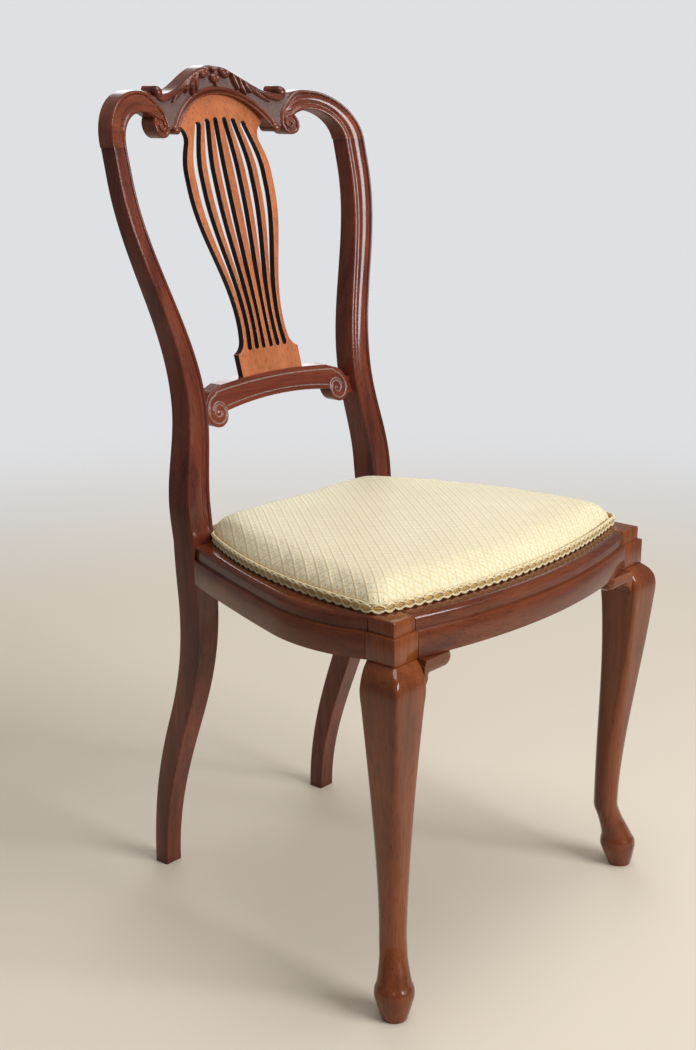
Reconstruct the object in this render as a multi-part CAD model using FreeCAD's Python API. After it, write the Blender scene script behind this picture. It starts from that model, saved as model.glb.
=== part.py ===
import FreeCAD, Part
import math
import os
from FreeCAD import Vector

# Lyre back side chair: show-wood frame, moulded back posts, pierced splat, fixed padded seat.
# Working frame: X across the chair, Y towards the back, Z up, floor at zero,
# Y zero on the front faces of the back posts at seat level. Left is the -X side.

# seat frame
seat_height = 425.0            # floor to the top of the seat frame
rail_height = 43.5             # depth of every seat rail
step_height = 15.3             # upper moulding above the step of the rails
step_set_back = 3.8            # how far the upper moulding stands back
edge_bevel = 2.4               # easing of the upper moulding's outer edge
front_width = 449.4            # over the two front blocks
seat_depth = 329.3             # front of the blocks to the front of the posts
block_size = 36.8              # square block at the head of each front leg
front_bow = 27.0               # how far the front rail bows forward
front_rail_mid = 42.0          # front rail's thickness at its middle
side_rail_thickness = 32.0
side_swell = 24.0              # side rail beyond the straight line from block to post,
side_turn = 27.0               # at its widest, further back,
side_run = 15.0                # and towards the post
rear_rail_thickness = 22.0
rear_rail_set_back = 5.0       # behind the front faces of the posts

# back posts, each in one piece with its rear leg
post_foot_spread = 139.8       # middle of the foot to the middle of the chair
post_calf_spread = 144.2
post_hip_spread = 155.5
post_waist_spread = 139.2
post_shoulder_spread = 187.3
post_calf_level = 200.0        # above the floor
post_straight_level = 365.0    # where the sweep of the rear leg ends
hip_above_seat = 35.0
waist_above_seat = 155.0
shoulder_above_seat = 395.0
joint_above_seat = 425.0       # top of the post, where the crest rail sits
post_foot_width = 24.0
post_seat_width = 33.0
post_hip_width = 34.5
post_top_width = 26.0
post_slim_level = 275.0        # above the seat, where the top width begins
post_foot_depth = 20.5
post_calf_depth = 29.0
post_seat_depth = 33.5
post_waist_depth = 28.5
back_depth = 22.5              # posts' top and crest rail, front to back
rear_leg_sweep = 86.0          # how far the rear foot stands back
rake_start = 0.115             # lean of the posts just above the seat
rake_gain = 0.000145           # growth of the lean with height
post_stations = 20             # sections along each post

# moulded face of the posts and shoulders
outer_bead = 3.4
inner_bead = 5.0
channel_depth = 1.4
channel_start = 16.0           # above the seat

# crest rail
back_radius = 583.0            # plan curve of the crest rail
crest_rake = 0.27
shoulder_rise = 58.0           # joint to the top of the shoulder
shoulder_reach = 67.0          # outer half width of the shoulder's bend
crest_top_above_joint = 85.5
crest_wave = 31.0              # height of the serpentine cresting
crest_wave_half = 90.0         # its half length
scroll_ball = 6.5              # radius of the scroll at each end of the cresting
scroll_ball_out = 97.5
scroll_proud = 2.0             # scrolls and beads stand proud of the face
volute_radius = 13.0
volute_out = 102.5             # volute centre to the middle of the chair
volute_above_joint = 20.0
arch_half = 74.0               # arch over the splat, inside the moulding
arch_rise = 38.0
arch_crown_above_joint = 54.0
arch_moulding = 8.0
arch_bead = 5.5                # radius of the bead that ends the arch moulding
ground_depth = 2.5             # sunk ground of the carving

# cross rail under the splat
cross_top_above_seat = 168.5
cross_height = 26.1            # at the middle
cross_top_radius = 940.0
cross_bottom_radius = 550.0
cross_depth = 17.5
cross_set_back = 9.4
cross_rake = 0.275
cross_volute_out = 99.4
cross_volute_above_seat = 136.4
cross_volute_small = 13.0      # spiral radius on the inner side
cross_volute_growth = 11.5     # added by the outer end of the spiral
cross_stub_height = 20.0       # end of the rail against the post
line_inset = 5.0               # incised line along both edges of the cross rail
line_width = 1.2
line_depth = 0.8

# lyre splat
splat_thickness = 8.3
splat_set_back_low = 3.4       # behind the cross rail's face
splat_set_back_high = 5.8      # behind the crest rail's face at the arch crown
lyre_low_half = 42.0           # half widths of the lyre curve
lyre_waist_half = 35.0
lyre_belly_half = 66.4
lyre_neck_half = 40.0
lyre_waist_above_seat = 225.0
lyre_belly_above_seat = 375.0
lyre_belly_length = 15.0
lyre_neck_above_seat = 475.0
splat_base_half = 49.3
splat_base_height = 23.5
splat_flare = 15.0             # height of the concave flare above the base
splat_fan_half = 66.0
splat_fan_drop = 6.0           # fan corner below the arch
splat_fan_flare = 19.0         # height of the flare under the fan
slot_shares = ((0.082, 0.237), (0.36, 0.54), (0.66, 0.85))
slot_below_arch = 25.5
slot_above_base = 3.0
tenon_half = 40.0
tenon_length = 12.0
tongue = 5.0                   # splat's edge held in the groove of the arch

# front legs
knee_size = 45.5               # square section of the knee between sharp corners
knee_drop = 27.0               # knee below the rails
knee_spread = 8.7              # knee beyond the block, outward and forward
ankle_level = 80.0
ankle_diameter = 28.2
ankle_shift = 4.5              # ankle drawn in under the block
leg_taper_power = 1.5
corner_soft = 4.0              # corner radius at the knee
foot_ring_diameter = 41.5
foot_ring_level = 28.0
sole_diameter = 26.4
foot_out = 9.6                 # sole beyond the block, outward
foot_forward = 14.3            # sole beyond the block, forward

# knee brackets under the front rail
bracket_length = 42.0
bracket_height = 17.0
bracket_thickness = 24.0
bracket_nose = 8.0
bracket_toe = 12.0
bracket_proud = 4.0
bracket_tip = 2.0              # flat end of the toe
bracket_fit = 0.5              # bracket to the leg's side

# corner blocks, tenons and dowels
corner_block_leg = 52.0
corner_block_height = 22.0
corner_block_lap = 14.0        # reach of the rear blocks beside the posts
tenon_thickness = 9.0
tenon_height = 30.0            # seat rails' tenons
tenon_in_leg = 15.0
tenon_in_post = 13.0
tenon_in_post_short = 9.5
side_tenon_line = 14.0         # side rail's tenon from its outer face
crest_tenon_width = 14.0       # tenon on the top of each post
crest_tenon_length = 12.0
cross_tenon_height = 12.0      # cross rail's tenons
cross_tenon_length = 12.0

# seat pad
pad_front_half = 212.0
pad_front_set_back = 33.0      # pad's front corners behind the blocks' front
pad_front_bow = 32.0
pad_side_bow = 27.0
pad_rear_half = 130.0
pad_rear_overlap = 18.0        # pad's rear edge behind the posts' front
pad_corner = 17.0
pad_crown = 32.0
pad_wall = 12.0                # upright edge of the pad
# crown from the top of the upright edge: size of the outline, share of the rise
pad_profile = ((1, 0), (0.985, 0.26), (0.93, 0.5), (0.8, 0.74), (0.55, 0.92), (0.2, 1))
cover_thickness = 1.2
webbing_width = 50.0
webbing_thickness = 1.8
webbing_inset = 4.0
webbing_pitch_long = 84.0
webbing_pitch_cross = 82.0
cloth_thickness = 1.0
gimp_height = 11.0
gimp_thickness = 2.2

# clearances
joint_gap = 0.1                # butted wood
fit_gap = 0.15                 # tenons and tongues in their mortises
tenon_root = 1.0               # overlap of a tenon with the piece that it grows from
soft_gap = 0.3                 # between the layers of the seat
post_clear = 1.0               # padding round the back posts

# places worked out from the sizes
front_y = -seat_depth
block_in = front_width / 2 - block_size
block_mid = front_width / 2 - block_size / 2
rail_bottom = seat_height - rail_height
step_level = seat_height - step_height
joint_z = seat_height + joint_above_seat
crest_top = joint_z + crest_top_above_joint
arch_crown = joint_z + arch_crown_above_joint
arch_radius = (arch_half ** 2 + arch_rise ** 2) / (2 * arch_rise)
arch_centre = arch_crown - arch_radius
volute_z = joint_z + volute_above_joint
cross_top = seat_height + cross_top_above_seat
cross_volute_z = seat_height + cross_volute_above_seat
knee_z = rail_bottom - knee_drop
reach = 2000.0                 # longer than anything on the chair
X = Vector(1, 0, 0)
Y = Vector(0, 1, 0)
Z = Vector(0, 0, 1)


# general geometry
def blend(first, last, share):
    return first + (last - first) * (1 - math.cos(math.pi * min(max(share, 0), 1))) / 2


def chain(stops, level):
    for (z0, v0), (z1, v1) in zip(stops, stops[1:]):
        if level <= z1:
            return blend(v0, v1, (level - z0) / (z1 - z0))
    return stops[-1][1]


def spread(first, last, count):
    return [first + (last - first) * i / (count - 1) for i in range(count)]


def line(a, b):
    return Part.makeLine(Vector(*a), Vector(*b))


def arc(a, b, c):
    return Part.Arc(Vector(*a), Vector(*b), Vector(*c)).toShape()


def arcs(points):
    """Smooth run of arcs, each through three of the points in turn."""
    edges = []
    for a, b, c in zip(points[:-2:2], points[1:-1:2], points[2::2]):
        side = (Vector(*b) - Vector(*a)).cross(Vector(*c) - Vector(*b))
        edges.append(arc(a, b, c) if side.Length > 0.01 else line(a, c))
    return edges


def polygon(points):
    return Part.makePolygon([Vector(*p) for p in points] + [Vector(*points[0])])


def slab(edges, start, direction):
    wire = edges if isinstance(edges, Part.Wire) else Part.Wire(edges)
    wire.translate(start)
    return Part.Face(wire).extrude(direction)


def through(edges):
    return slab(edges, Y * -reach / 2, Y * reach)


def mirrored(shape):
    return shape.mirror(Vector(0, 0, 0), X)


def rod(diameter, start, direction, length):
    return Part.makeCylinder(diameter / 2, length, start, direction)


def eased(solid, size, near):
    """Bevel along the edges that the test picks."""
    edges = [e for e in solid.Edges if near(e)]
    return solid.makeChamfer(size, edges) if edges else solid


# back posts
def post_front(z):
    above = z - seat_height
    if above < 0:
        return blend(rear_leg_sweep, 0, z / post_straight_level)
    return rake_start * above + rake_gain * above ** 2


def post_plan(z):
    """Outer and inner side, front at both sides, depth, of the right post at one height."""
    middle = chain([(0, post_foot_spread), (post_calf_level, post_calf_spread),
                    (seat_height + hip_above_seat, post_hip_spread),
                    (seat_height + waist_above_seat, post_waist_spread),
                    (seat_height + shoulder_above_seat, post_shoulder_spread)], z)
    width = chain([(0, post_foot_width), (seat_height, post_seat_width),
                   (seat_height + hip_above_seat, post_hip_width),
                   (seat_height + post_slim_level, post_top_width)], z)
    depth = chain([(0, post_foot_depth), (post_calf_level, post_calf_depth),
                   (seat_height, post_seat_depth),
                   (seat_height + waist_above_seat, post_waist_depth), (joint_z, back_depth)], z)
    turn = blend(0, 1, (z - seat_height - hip_above_seat) / (joint_above_seat - hip_above_seat))
    tilt = turn * post_shoulder_spread / math.sqrt(back_radius ** 2 - post_shoulder_spread ** 2)
    front = post_front(z)
    outer = middle + width / 2
    inner = middle - width / 2
    return outer, inner, front - tilt * width / 2, front + tilt * width / 2, depth


def post_levels(start, count):
    return spread(start, joint_z, count)


def post_solid():
    wires = []
    for z in post_levels(0, post_stations):
        outer, inner, front_out, front_in, depth = post_plan(z)
        wires.append(polygon([(outer, front_out, z), (inner, front_in, z),
                              (inner, front_in + depth, z), (outer, front_out + depth, z)]))
    return Part.makeLoft(wires, True, False)


def post_channel():
    """Sunk band between the two beads, on the front of the post above the seat."""
    wires = []
    start = seat_height + channel_start
    for z in spread(start, joint_z + 1, post_stations // 2):
        outer, inner, front_out, front_in, depth = post_plan(z)
        slope = (front_out - front_in) / (outer - inner)
        out_x = outer - outer_bead
        in_x = inner + inner_bead
        out_y = front_in + slope * (out_x - inner)
        in_y = front_in + slope * (in_x - inner)
        wires.append(polygon([(out_x, out_y - depth, z), (in_x, in_y - depth, z),
                              (in_x, in_y + channel_depth, z), (out_x, out_y + channel_depth, z)]))
    return Part.makeLoft(wires, True, False)


# crest rail
def bow(x):
    return back_radius - math.sqrt(back_radius ** 2 - x ** 2)


def crest_front(x, z):
    return post_front(joint_z) + bow(post_shoulder_spread) - bow(x) + crest_rake * (z - joint_z)


def crest_sheet(near, far):
    """Layer of the crest rail between two depths behind its curved and raked face."""
    half = post_shoulder_spread + shoulder_reach
    low = joint_z - volute_radius
    tall = crest_top + volute_radius - low
    corner = [(half, crest_front(half, low) + d, low) for d in (near, far)]
    middle = [(0, crest_front(0, low) + d, low) for d in (near, far)]
    other = [(-c[0], c[1], c[2]) for c in corner]
    edges = [arc(other[0], middle[0], corner[0]), line(corner[0], corner[1]),
             arc(corner[1], middle[1], other[1]), line(other[1], other[0])]
    return slab(edges, Vector(), Vector(0, crest_rake * tall, tall))


def ellipse_points(centre_x, half, rise, first, last, count):
    points = []
    for angle in spread(math.radians(first), math.radians(last), count):
        points.append((centre_x + half * math.cos(angle), 0, joint_z + rise * math.sin(angle)))
    return points


def shoulder_centre():
    return post_shoulder_spread + post_top_width / 2 - shoulder_reach


def crest_wave_z(x):
    return crest_top - crest_wave + blend(crest_wave, 0, abs(x) / crest_wave_half)


def volute_point(angle, radius=volute_radius):
    a = math.radians(angle)
    return (volute_out + radius * math.cos(a), 0, volute_z + radius * math.sin(a))


def arch_point(x, radius):
    return (x, 0, arch_centre + math.sqrt(radius ** 2 - x ** 2))


def crest_outline():
    """Front view of the crest rail: cresting, shoulders, volutes, arch."""
    inner_reach = shoulder_reach - post_top_width
    inner_rise = shoulder_rise * 0.6
    wave_end = (crest_wave_half, 0, crest_wave_z(crest_wave_half))
    dip = (volute_out, 0, joint_z + shoulder_rise - volute_radius / 2)
    outer = ellipse_points(shoulder_centre(), shoulder_reach, shoulder_rise, 0, 90, 5)
    inner = ellipse_points(shoulder_centre(), inner_reach, inner_rise, 0, 90, 5)
    wave = [(x, 0, crest_wave_z(x)) for x in spread(0, crest_wave_half, 9)]
    crotch = volute_point(45)
    bead_z = arch_crown - arch_rise
    bead_out = arch_half + arch_bead
    right = arcs(wave) + [
        line(wave_end, dip),
        arc(dip, (dip[0] + volute_radius, 0, outer[-1][2] - 1.5), outer[-1])]
    right += arcs(outer[::-1]) + [line(outer[0], inner[0])] + arcs(inner)
    right += [
        arc(inner[-1], (crotch[0] + volute_radius * 0.8, 0, inner[-1][2] - 1.2), crotch),
        arc(crotch, volute_point(-60), volute_point(195)),
        line(volute_point(195), (bead_out + arch_bead, 0, bead_z)),
        arc((bead_out + arch_bead, 0, bead_z), (bead_out, 0, bead_z - arch_bead),
            (bead_out - arch_bead, 0, bead_z)),
        arc(arch_point(arch_half, arch_radius), arch_point(arch_half / 2, arch_radius),
            (0, 0, arch_crown)),
    ]
    left = [mirrored(edge) for edge in right]
    return Part.Wire(Part.__sortEdges__(right + left))


def ground_outline():
    """Sunk field of the cresting, above the arch moulding and between the volutes."""
    outer = arch_radius + arch_moulding
    side = arch_half + arch_bead + arch_bead
    foot = (side - 1, 0, arch_crown - arch_rise + 1)
    strand = [volute_point(170, volute_radius + 1), volute_point(135, volute_radius + 3),
              volute_point(112, volute_radius + 8), (volute_out, 0, joint_z + shoulder_rise - 8)]
    high = crest_top + volute_radius
    start = arch_point(side - arch_bead, outer)
    edges = [arc((-start[0], 0, start[2]), (0, 0, arch_centre + outer), start), line(start, foot),
             line(foot, strand[0]), arc(*strand[:3]), line(strand[2], strand[3]),
             line(strand[-1], (volute_out, 0, high)), line((volute_out, 0, high), (-volute_out, 0, high))]
    edges += [mirrored(edge) for edge in edges[1:6]]
    return Part.Wire(Part.__sortEdges__(edges))


def shoulder_channel():
    """Sunk band of the moulded shoulder, from the post joint round to the volute."""
    inner_reach = shoulder_reach - post_top_width
    outer = ellipse_points(shoulder_centre(), shoulder_reach - outer_bead,
                           shoulder_rise - outer_bead, -8, 105, 7)
    inner = ellipse_points(shoulder_centre(), inner_reach + inner_bead,
                           shoulder_rise * 0.6 + inner_bead, -12, 105, 5)
    return arcs(outer) + [line(outer[-1], inner[-1])] + arcs(inner[::-1]) + [line(inner[0], outer[0])]


def scrolls():
    """Scrolls that end the cresting and beads that end the arch, as round bars."""
    places = [(scroll_ball_out, crest_wave_z(crest_wave_half) + 2, scroll_ball),
              (arch_half + arch_bead, arch_crown - arch_rise, arch_bead)]
    bars = []
    for x, z, radius in places:
        start = Vector(x, crest_front(x, z) - scroll_proud, z)
        bars.append(rod(2 * radius, start, Y, back_depth))
    return bars + [mirrored(bar) for bar in bars]


def crest_rail(mortise):
    body = through(crest_outline()).common(crest_sheet(0, back_depth))
    body = body.cut(through(ground_outline()).common(crest_sheet(-5, ground_depth)))
    channel = through(shoulder_channel()).common(crest_sheet(-5, channel_depth))
    body = body.cut([channel, mirrored(channel)])
    body = body.fuse(scrolls())
    return body.cut(mortise)


# cross rail
def cross_front(z):
    return post_front(cross_volute_z) + cross_set_back + cross_rake * (z - cross_volute_z)


def raked_layer(front_of, low, high, near, far, half):
    points = [(-half, front_of(low) + near, low), (-half, front_of(low) + far, low),
              (-half, front_of(high) + far, high), (-half, front_of(high) + near, high)]
    return slab(polygon(points), Vector(), X * 2 * half)


def cross_layer(near, far):
    low = cross_volute_z - 2 * cross_volute_growth
    return raked_layer(cross_front, low, cross_top + line_inset, near, far, post_hip_spread)


def cross_top_z(x, drop=0):
    return cross_top - drop - cross_top_radius + math.sqrt(cross_top_radius ** 2 - x ** 2)


def cross_bottom_z(x, lift=0):
    crown = cross_top - cross_height + lift
    return crown - cross_bottom_radius + math.sqrt(cross_bottom_radius ** 2 - x ** 2)


def cross_spiral(angle, inset=0):
    radius = cross_volute_small + cross_volute_growth * (angle + 180) / 290 - inset
    a = math.radians(angle)
    return (cross_volute_out + radius * math.cos(a), 0, cross_volute_z + radius * math.sin(a))


def cross_outline():
    top_end = cross_volute_out - cross_volute_growth
    volute = [(top_end, 0, cross_top_z(top_end))] + [cross_spiral(a) for a in spread(82, -180, 8)]
    bottom_end = volute[-1]
    right = arcs(volute)
    return right + [mirrored(edge) for edge in right] + [
        arc((-top_end, 0, volute[0][2]), (0, 0, cross_top), volute[0]),
        arc(bottom_end, (0, 0, cross_top - cross_height), (-bottom_end[0], 0, bottom_end[2]))]


def cross_lines():
    """Incised lines, one along each edge between the volutes."""
    cutters = []
    end = cross_volute_out - cross_volute_growth
    for edge_z, step in ((cross_top_z, line_inset), (cross_bottom_z, line_inset)):
        a, b = step, step + line_width
        points = [[(x, 0, edge_z(abs(x), d)) for x in (-end, 0, end)] for d in (a, b)]
        band = [arc(*points[0]), line(points[0][2], points[1][2]),
                arc(*points[1][::-1]), line(points[1][0], points[0][0])]
        cutters.append(through(band))
    return cutters


def cross_rail(posts, mortise):
    body = through(Part.Wire(Part.__sortEdges__(cross_outline())))
    stub_z = cross_volute_z - cross_stub_height / 2
    stub = Part.makeBox(2 * post_waist_spread, reach, cross_stub_height,
                        Vector(-post_waist_spread, -reach / 2, stub_z))
    inner = 2 * (cross_volute_out + cross_volute_small / 2)
    stub = stub.cut(Part.makeBox(inner, reach, cross_stub_height + 2,
                                 Vector(-inner / 2, -reach / 2, stub_z - 1)))
    body = body.fuse(stub).common(cross_layer(0, cross_depth))
    for cutter in cross_lines():
        body = body.cut(cutter.common(cross_layer(-5, line_depth)))
    for side, post in ((-1, posts[0]), (1, posts[1])):
        body = body.cut(post.translated(X * -side * joint_gap))
    return biggest(body.cut(mortise))


def biggest(shape):
    return max(shape.Solids, key=lambda s: s.Volume)


# lyre splat
def splat_front(z):
    low_y = cross_front(cross_top) + splat_set_back_low
    high_y = crest_front(0, arch_crown) + splat_set_back_high
    return low_y + (high_y - low_y) * (z - cross_top) / (arch_crown - cross_top)


def splat_layer(grow):
    low = cross_top - tenon_length - joint_gap - 2
    high = arch_crown + tongue + 2
    return raked_layer(splat_front, low, high, -grow, splat_thickness + grow, splat_fan_half + 5)


def lyre_half(z):
    return chain([(cross_top, lyre_low_half), (seat_height + lyre_waist_above_seat, lyre_waist_half),
                  (seat_height + lyre_belly_above_seat, lyre_belly_half),
                  (seat_height + lyre_belly_above_seat + lyre_belly_length, lyre_belly_half),
                  (seat_height + lyre_neck_above_seat, lyre_neck_half)], z)


def splat_outline(grow):
    base_z = cross_top + splat_base_height
    flare_z = base_z + splat_flare
    fan_z = arch_point(splat_fan_half, arch_radius)[2] - splat_fan_drop
    neck_z = fan_z - splat_fan_flare
    seat_z = cross_top_z(splat_base_half) + joint_gap - grow
    tenon_z = cross_top - tenon_length - grow
    base = splat_base_half + grow
    fan = splat_fan_half + grow
    tenon = tenon_half + grow
    side = [(lyre_half(z) + grow, 0, z) for z in spread(flare_z, neck_z, 11)]
    edge = arch_radius + tongue + grow
    right = [
        line((0, 0, tenon_z), (tenon, 0, tenon_z)),
        line((tenon, 0, tenon_z), (tenon, 0, seat_z)),
        line((tenon, 0, seat_z), (base, 0, seat_z)),
        line((base, 0, seat_z), (base, 0, base_z)),
        arc((base, 0, base_z), (side[0][0] + (base - side[0][0]) * 0.3, 0, base_z + splat_flare * 0.4),
            side[0]),
        arc(side[-1], (side[-1][0] + (fan - side[-1][0]) * 0.2, 0, fan_z - splat_fan_flare * 0.3),
            (fan, 0, fan_z)),
        line((fan, 0, fan_z), arch_point(fan, edge)),
        arc(arch_point(fan, edge), arch_point(fan / 2, edge), (0, 0, arch_centre + edge)),
    ] + arcs(side)
    return Part.Wire(Part.__sortEdges__(right + [mirrored(part) for part in right]))


def slot_outline(near_share, far_share):
    """One string slot: both sides follow the lyre curve, with round ends."""
    low = cross_top + splat_base_height + slot_above_base
    middle = (near_share + far_share) / 2
    high = arch_point(middle * lyre_neck_half, arch_radius)[2] - slot_below_arch
    low_round = (far_share - near_share) * lyre_half(low) / 2
    high_round = (far_share - near_share) * lyre_half(high) / 2
    levels = spread(low + low_round, high - high_round, 9)
    near = [(near_share * lyre_half(z), 0, z) for z in levels]
    far = [(far_share * lyre_half(z), 0, z) for z in levels]
    return arcs(near) + [arc(near[-1], (middle * lyre_half(high), 0, high), far[-1])] + \
        arcs(far[::-1]) + [arc(far[0], (middle * lyre_half(low), 0, low), near[0])]


def lyre_splat():
    body = through(splat_outline(0)).common(splat_layer(0))
    for near_share, far_share in slot_shares:
        slot = through(slot_outline(near_share, far_share))
        body = body.cut(slot).cut(mirrored(slot))
    return body


def splat_mortise():
    return through(splat_outline(fit_gap)).common(splat_layer(fit_gap))


# seat rails
def bowed_plan(half, y, bow_out, inner_y, inner_bow):
    return [arc((-half, y, 0), (0, y - bow_out, 0), (half, y, 0)),
            line((half, y, 0), (half, inner_y, 0)),
            arc((half, inner_y, 0), (0, inner_y - inner_bow, 0), (-half, inner_y, 0)),
            line((-half, inner_y, 0), (-half, y, 0))]


def front_rail():
    half = block_in - joint_gap
    inner_y = front_y + block_size
    inner_bow = front_bow + block_size - front_rail_mid
    lower = slab(bowed_plan(half, front_y, front_bow, inner_y, inner_bow), Z * rail_bottom,
                 Z * (step_level - rail_bottom))
    upper = slab(bowed_plan(half, front_y + step_set_back, front_bow, inner_y, inner_bow),
                 Z * step_level, Z * step_height)
    upper = eased(upper, edge_bevel, lambda e: top_outer(e, front_y))
    return lower.fuse(upper).removeSplitter()


def top_outer(edge, y):
    box = edge.BoundBox
    return box.ZMin > seat_height - 0.01 and box.XLength > block_in and box.YMin < y


def side_line(share, beyond):
    """Point beyond the straight line from the leg block to the post."""
    rear = post_plan(seat_height)[0]
    start = front_y + block_size + joint_gap
    x = front_width / 2 + (rear - front_width / 2) * share + beyond
    return (x, start + (-joint_gap - start) * share, 0)


def side_plan(inset):
    run = [side_line(0, 0), side_line(0.205, side_swell), side_line(0.42, side_turn),
           side_line(0.715, side_run), side_line(1, 0)]
    outer = [(x - inset, y, z) for x, y, z in run]
    inner = [(x - side_rail_thickness, y, z) for x, y, z in run]
    return arcs(outer) + [line(outer[-1], inner[-1])] + arcs(inner[::-1]) + [line(inner[0], outer[0])]


def side_rail():
    lower = slab(side_plan(0), Z * rail_bottom, Z * (step_level - rail_bottom))
    upper = slab(side_plan(step_set_back), Z * step_level, Z * step_height)
    ends = [side_plan(step_set_back)[i].CenterOfMass for i in (0, 1)]
    upper = eased(upper, edge_bevel, lambda e: e.BoundBox.ZMin > seat_height - 0.01
                   and min((e.CenterOfMass - Z * seat_height - end).Length for end in ends) < 1)
    return lower.fuse(upper).removeSplitter()


def rear_rail(posts):
    box = Part.makeBox(2 * post_hip_spread, rear_rail_thickness, rail_height,
                       Vector(-post_hip_spread, rear_rail_set_back, rail_bottom))
    for side, post in ((-1, posts[0]), (1, posts[1])):
        box = box.cut(post.translated(X * -side * joint_gap))
    return biggest(box)


# front legs
def soft_square(x, y, z, size, radius):
    """Square with rounded corners, in short flats so that the leg stays smooth along its length."""
    half = size / 2
    radius = min(radius, half * 0.94)
    flat = half - radius
    points = []
    for turn in range(4):
        for step in (0, 45, 90):
            a = math.radians(90 * turn + step)
            corner = math.radians(90 * turn + 45)
            u = flat * math.sqrt(2) * math.cos(corner) + radius * math.cos(a)
            v = flat * math.sqrt(2) * math.sin(corner) + radius * math.sin(a)
            points.append((x + u, y + v, z))
    return polygon(points)


def leg_section(z):
    """Cabriole section between the rails and the ankle."""
    share = (z - ankle_level) / (knee_z - ankle_level)
    thin = ankle_diameter / math.sqrt(2)
    size = thin + (knee_size - thin) * max(share, 0) ** leg_taper_power
    radius = blend(ankle_diameter / 2, corner_soft, share)
    size += radius * (2 - math.sqrt(2))
    drift = blend(-ankle_shift, knee_spread, share)
    forward = blend(0, knee_spread, share)
    return soft_square(block_mid + drift, front_y + block_size / 2 - forward, z, size, radius)


def foot_section(z, diameter, share):
    x = block_mid + foot_out * share - ankle_shift * (1 - share)
    y = front_y + block_size / 2 - foot_forward * share
    return soft_square(x, y, z, diameter, diameter / 2)


def front_leg():
    neck = rail_bottom - knee_drop * 0.25
    throat = soft_square(block_mid + knee_spread * 0.55, front_y + block_size / 2 - knee_spread * 0.55,
                         neck, (block_size + knee_size) / 2, corner_soft)
    head = soft_square(block_mid, front_y + block_size / 2, rail_bottom, block_size, corner_soft / 4)
    above = foot_ring_level + (ankle_level - foot_ring_level) * 0.5
    wires = [head, throat]
    wires += [leg_section(z) for z in spread(knee_z, ankle_level, 11)]
    wires += [foot_section(above, (ankle_diameter * 2 + foot_ring_diameter) / 3, 0.5),
              foot_section(foot_ring_level, foot_ring_diameter, 0.85)]
    cabriole = Part.makeLoft(wires, True, False)
    pad = Part.makeLoft([foot_section(foot_ring_level, foot_ring_diameter, 0.85),
                         foot_section(0, sole_diameter, 1)], True, True)
    low = Part.makeBox(block_size, block_size, step_level - rail_bottom,
                       Vector(block_in, front_y, rail_bottom))
    top = block_size - step_set_back
    high = Part.makeBox(top, top, step_height, Vector(block_in, front_y + step_set_back, step_level))
    high = eased(high, edge_bevel, lambda e: e.BoundBox.ZMin > seat_height - 0.01
                  and (e.BoundBox.YMax < front_y + step_set_back + 0.01
                       or e.BoundBox.XMin > front_width / 2 - step_set_back - 0.01))
    return cabriole.fuse([pad, low, high]).removeSplitter()


def knee_inner(z):
    """Inner side of the leg between the block and the knee."""
    stops = [(knee_z, block_mid + knee_spread - knee_size / 2 - corner_soft * 0.3),
             (rail_bottom - knee_drop * 0.25, block_mid + knee_spread * 0.55 - (block_size + knee_size) / 4),
             (rail_bottom, block_in)]
    for (z0, x0), (z1, x1) in zip(stops, stops[1:]):
        if z <= z1:
            return x0 + (x1 - x0) * (z - z0) / (z1 - z0)
    return block_in


def knee_bracket():
    """Shaped ear under the front rail, glued to the inner side of the knee."""
    top = rail_bottom - joint_gap
    end = block_in - bracket_length
    low = top - bracket_height
    toe = low - bracket_toe
    side = [(knee_inner(z) - bracket_fit, 0, z) for z in (toe, rail_bottom - knee_drop * 0.25, top)]
    tip = (side[0][0] - bracket_tip, 0, toe)
    turn = tip[0] - bracket_toe
    edges = [
        line(side[2], (end, 0, top)),
        arc((end, 0, top), (end + bracket_nose * 0.25, 0, low + bracket_nose * 0.45),
            (end + bracket_nose, 0, low)),
        line((end + bracket_nose, 0, low), (turn, 0, low)),
        arc((turn, 0, low), (turn + bracket_toe * 0.7, 0, low - bracket_toe * 0.3), tip),
        line(tip, side[0]),
        line(side[0], side[1]),
        line(side[1], side[2]),
    ]
    face_y = front_y - front_bow * (1 - ((block_in - bracket_length / 2) / block_in) ** 2)
    return slab(edges, Y * (face_y - bracket_proud), Y * bracket_thickness)


# corner blocks and fasteners
def corner_block(corner, long_x, long_y, neighbours):
    """Triangular glue block in an inner corner of the seat frame."""
    x, y = corner
    low = (rail_bottom + seat_height - corner_block_height) / 2
    body = slab(polygon([(x, y, 0), (x - long_x, y, 0), (x, y + long_y, 0)]), Z * low,
                Z * corner_block_height)
    toward = Vector(-1, math.copysign(1, long_y), 0) * joint_gap
    for piece in neighbours:
        body = body.cut(piece.translated(toward))
    return biggest(body)


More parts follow.
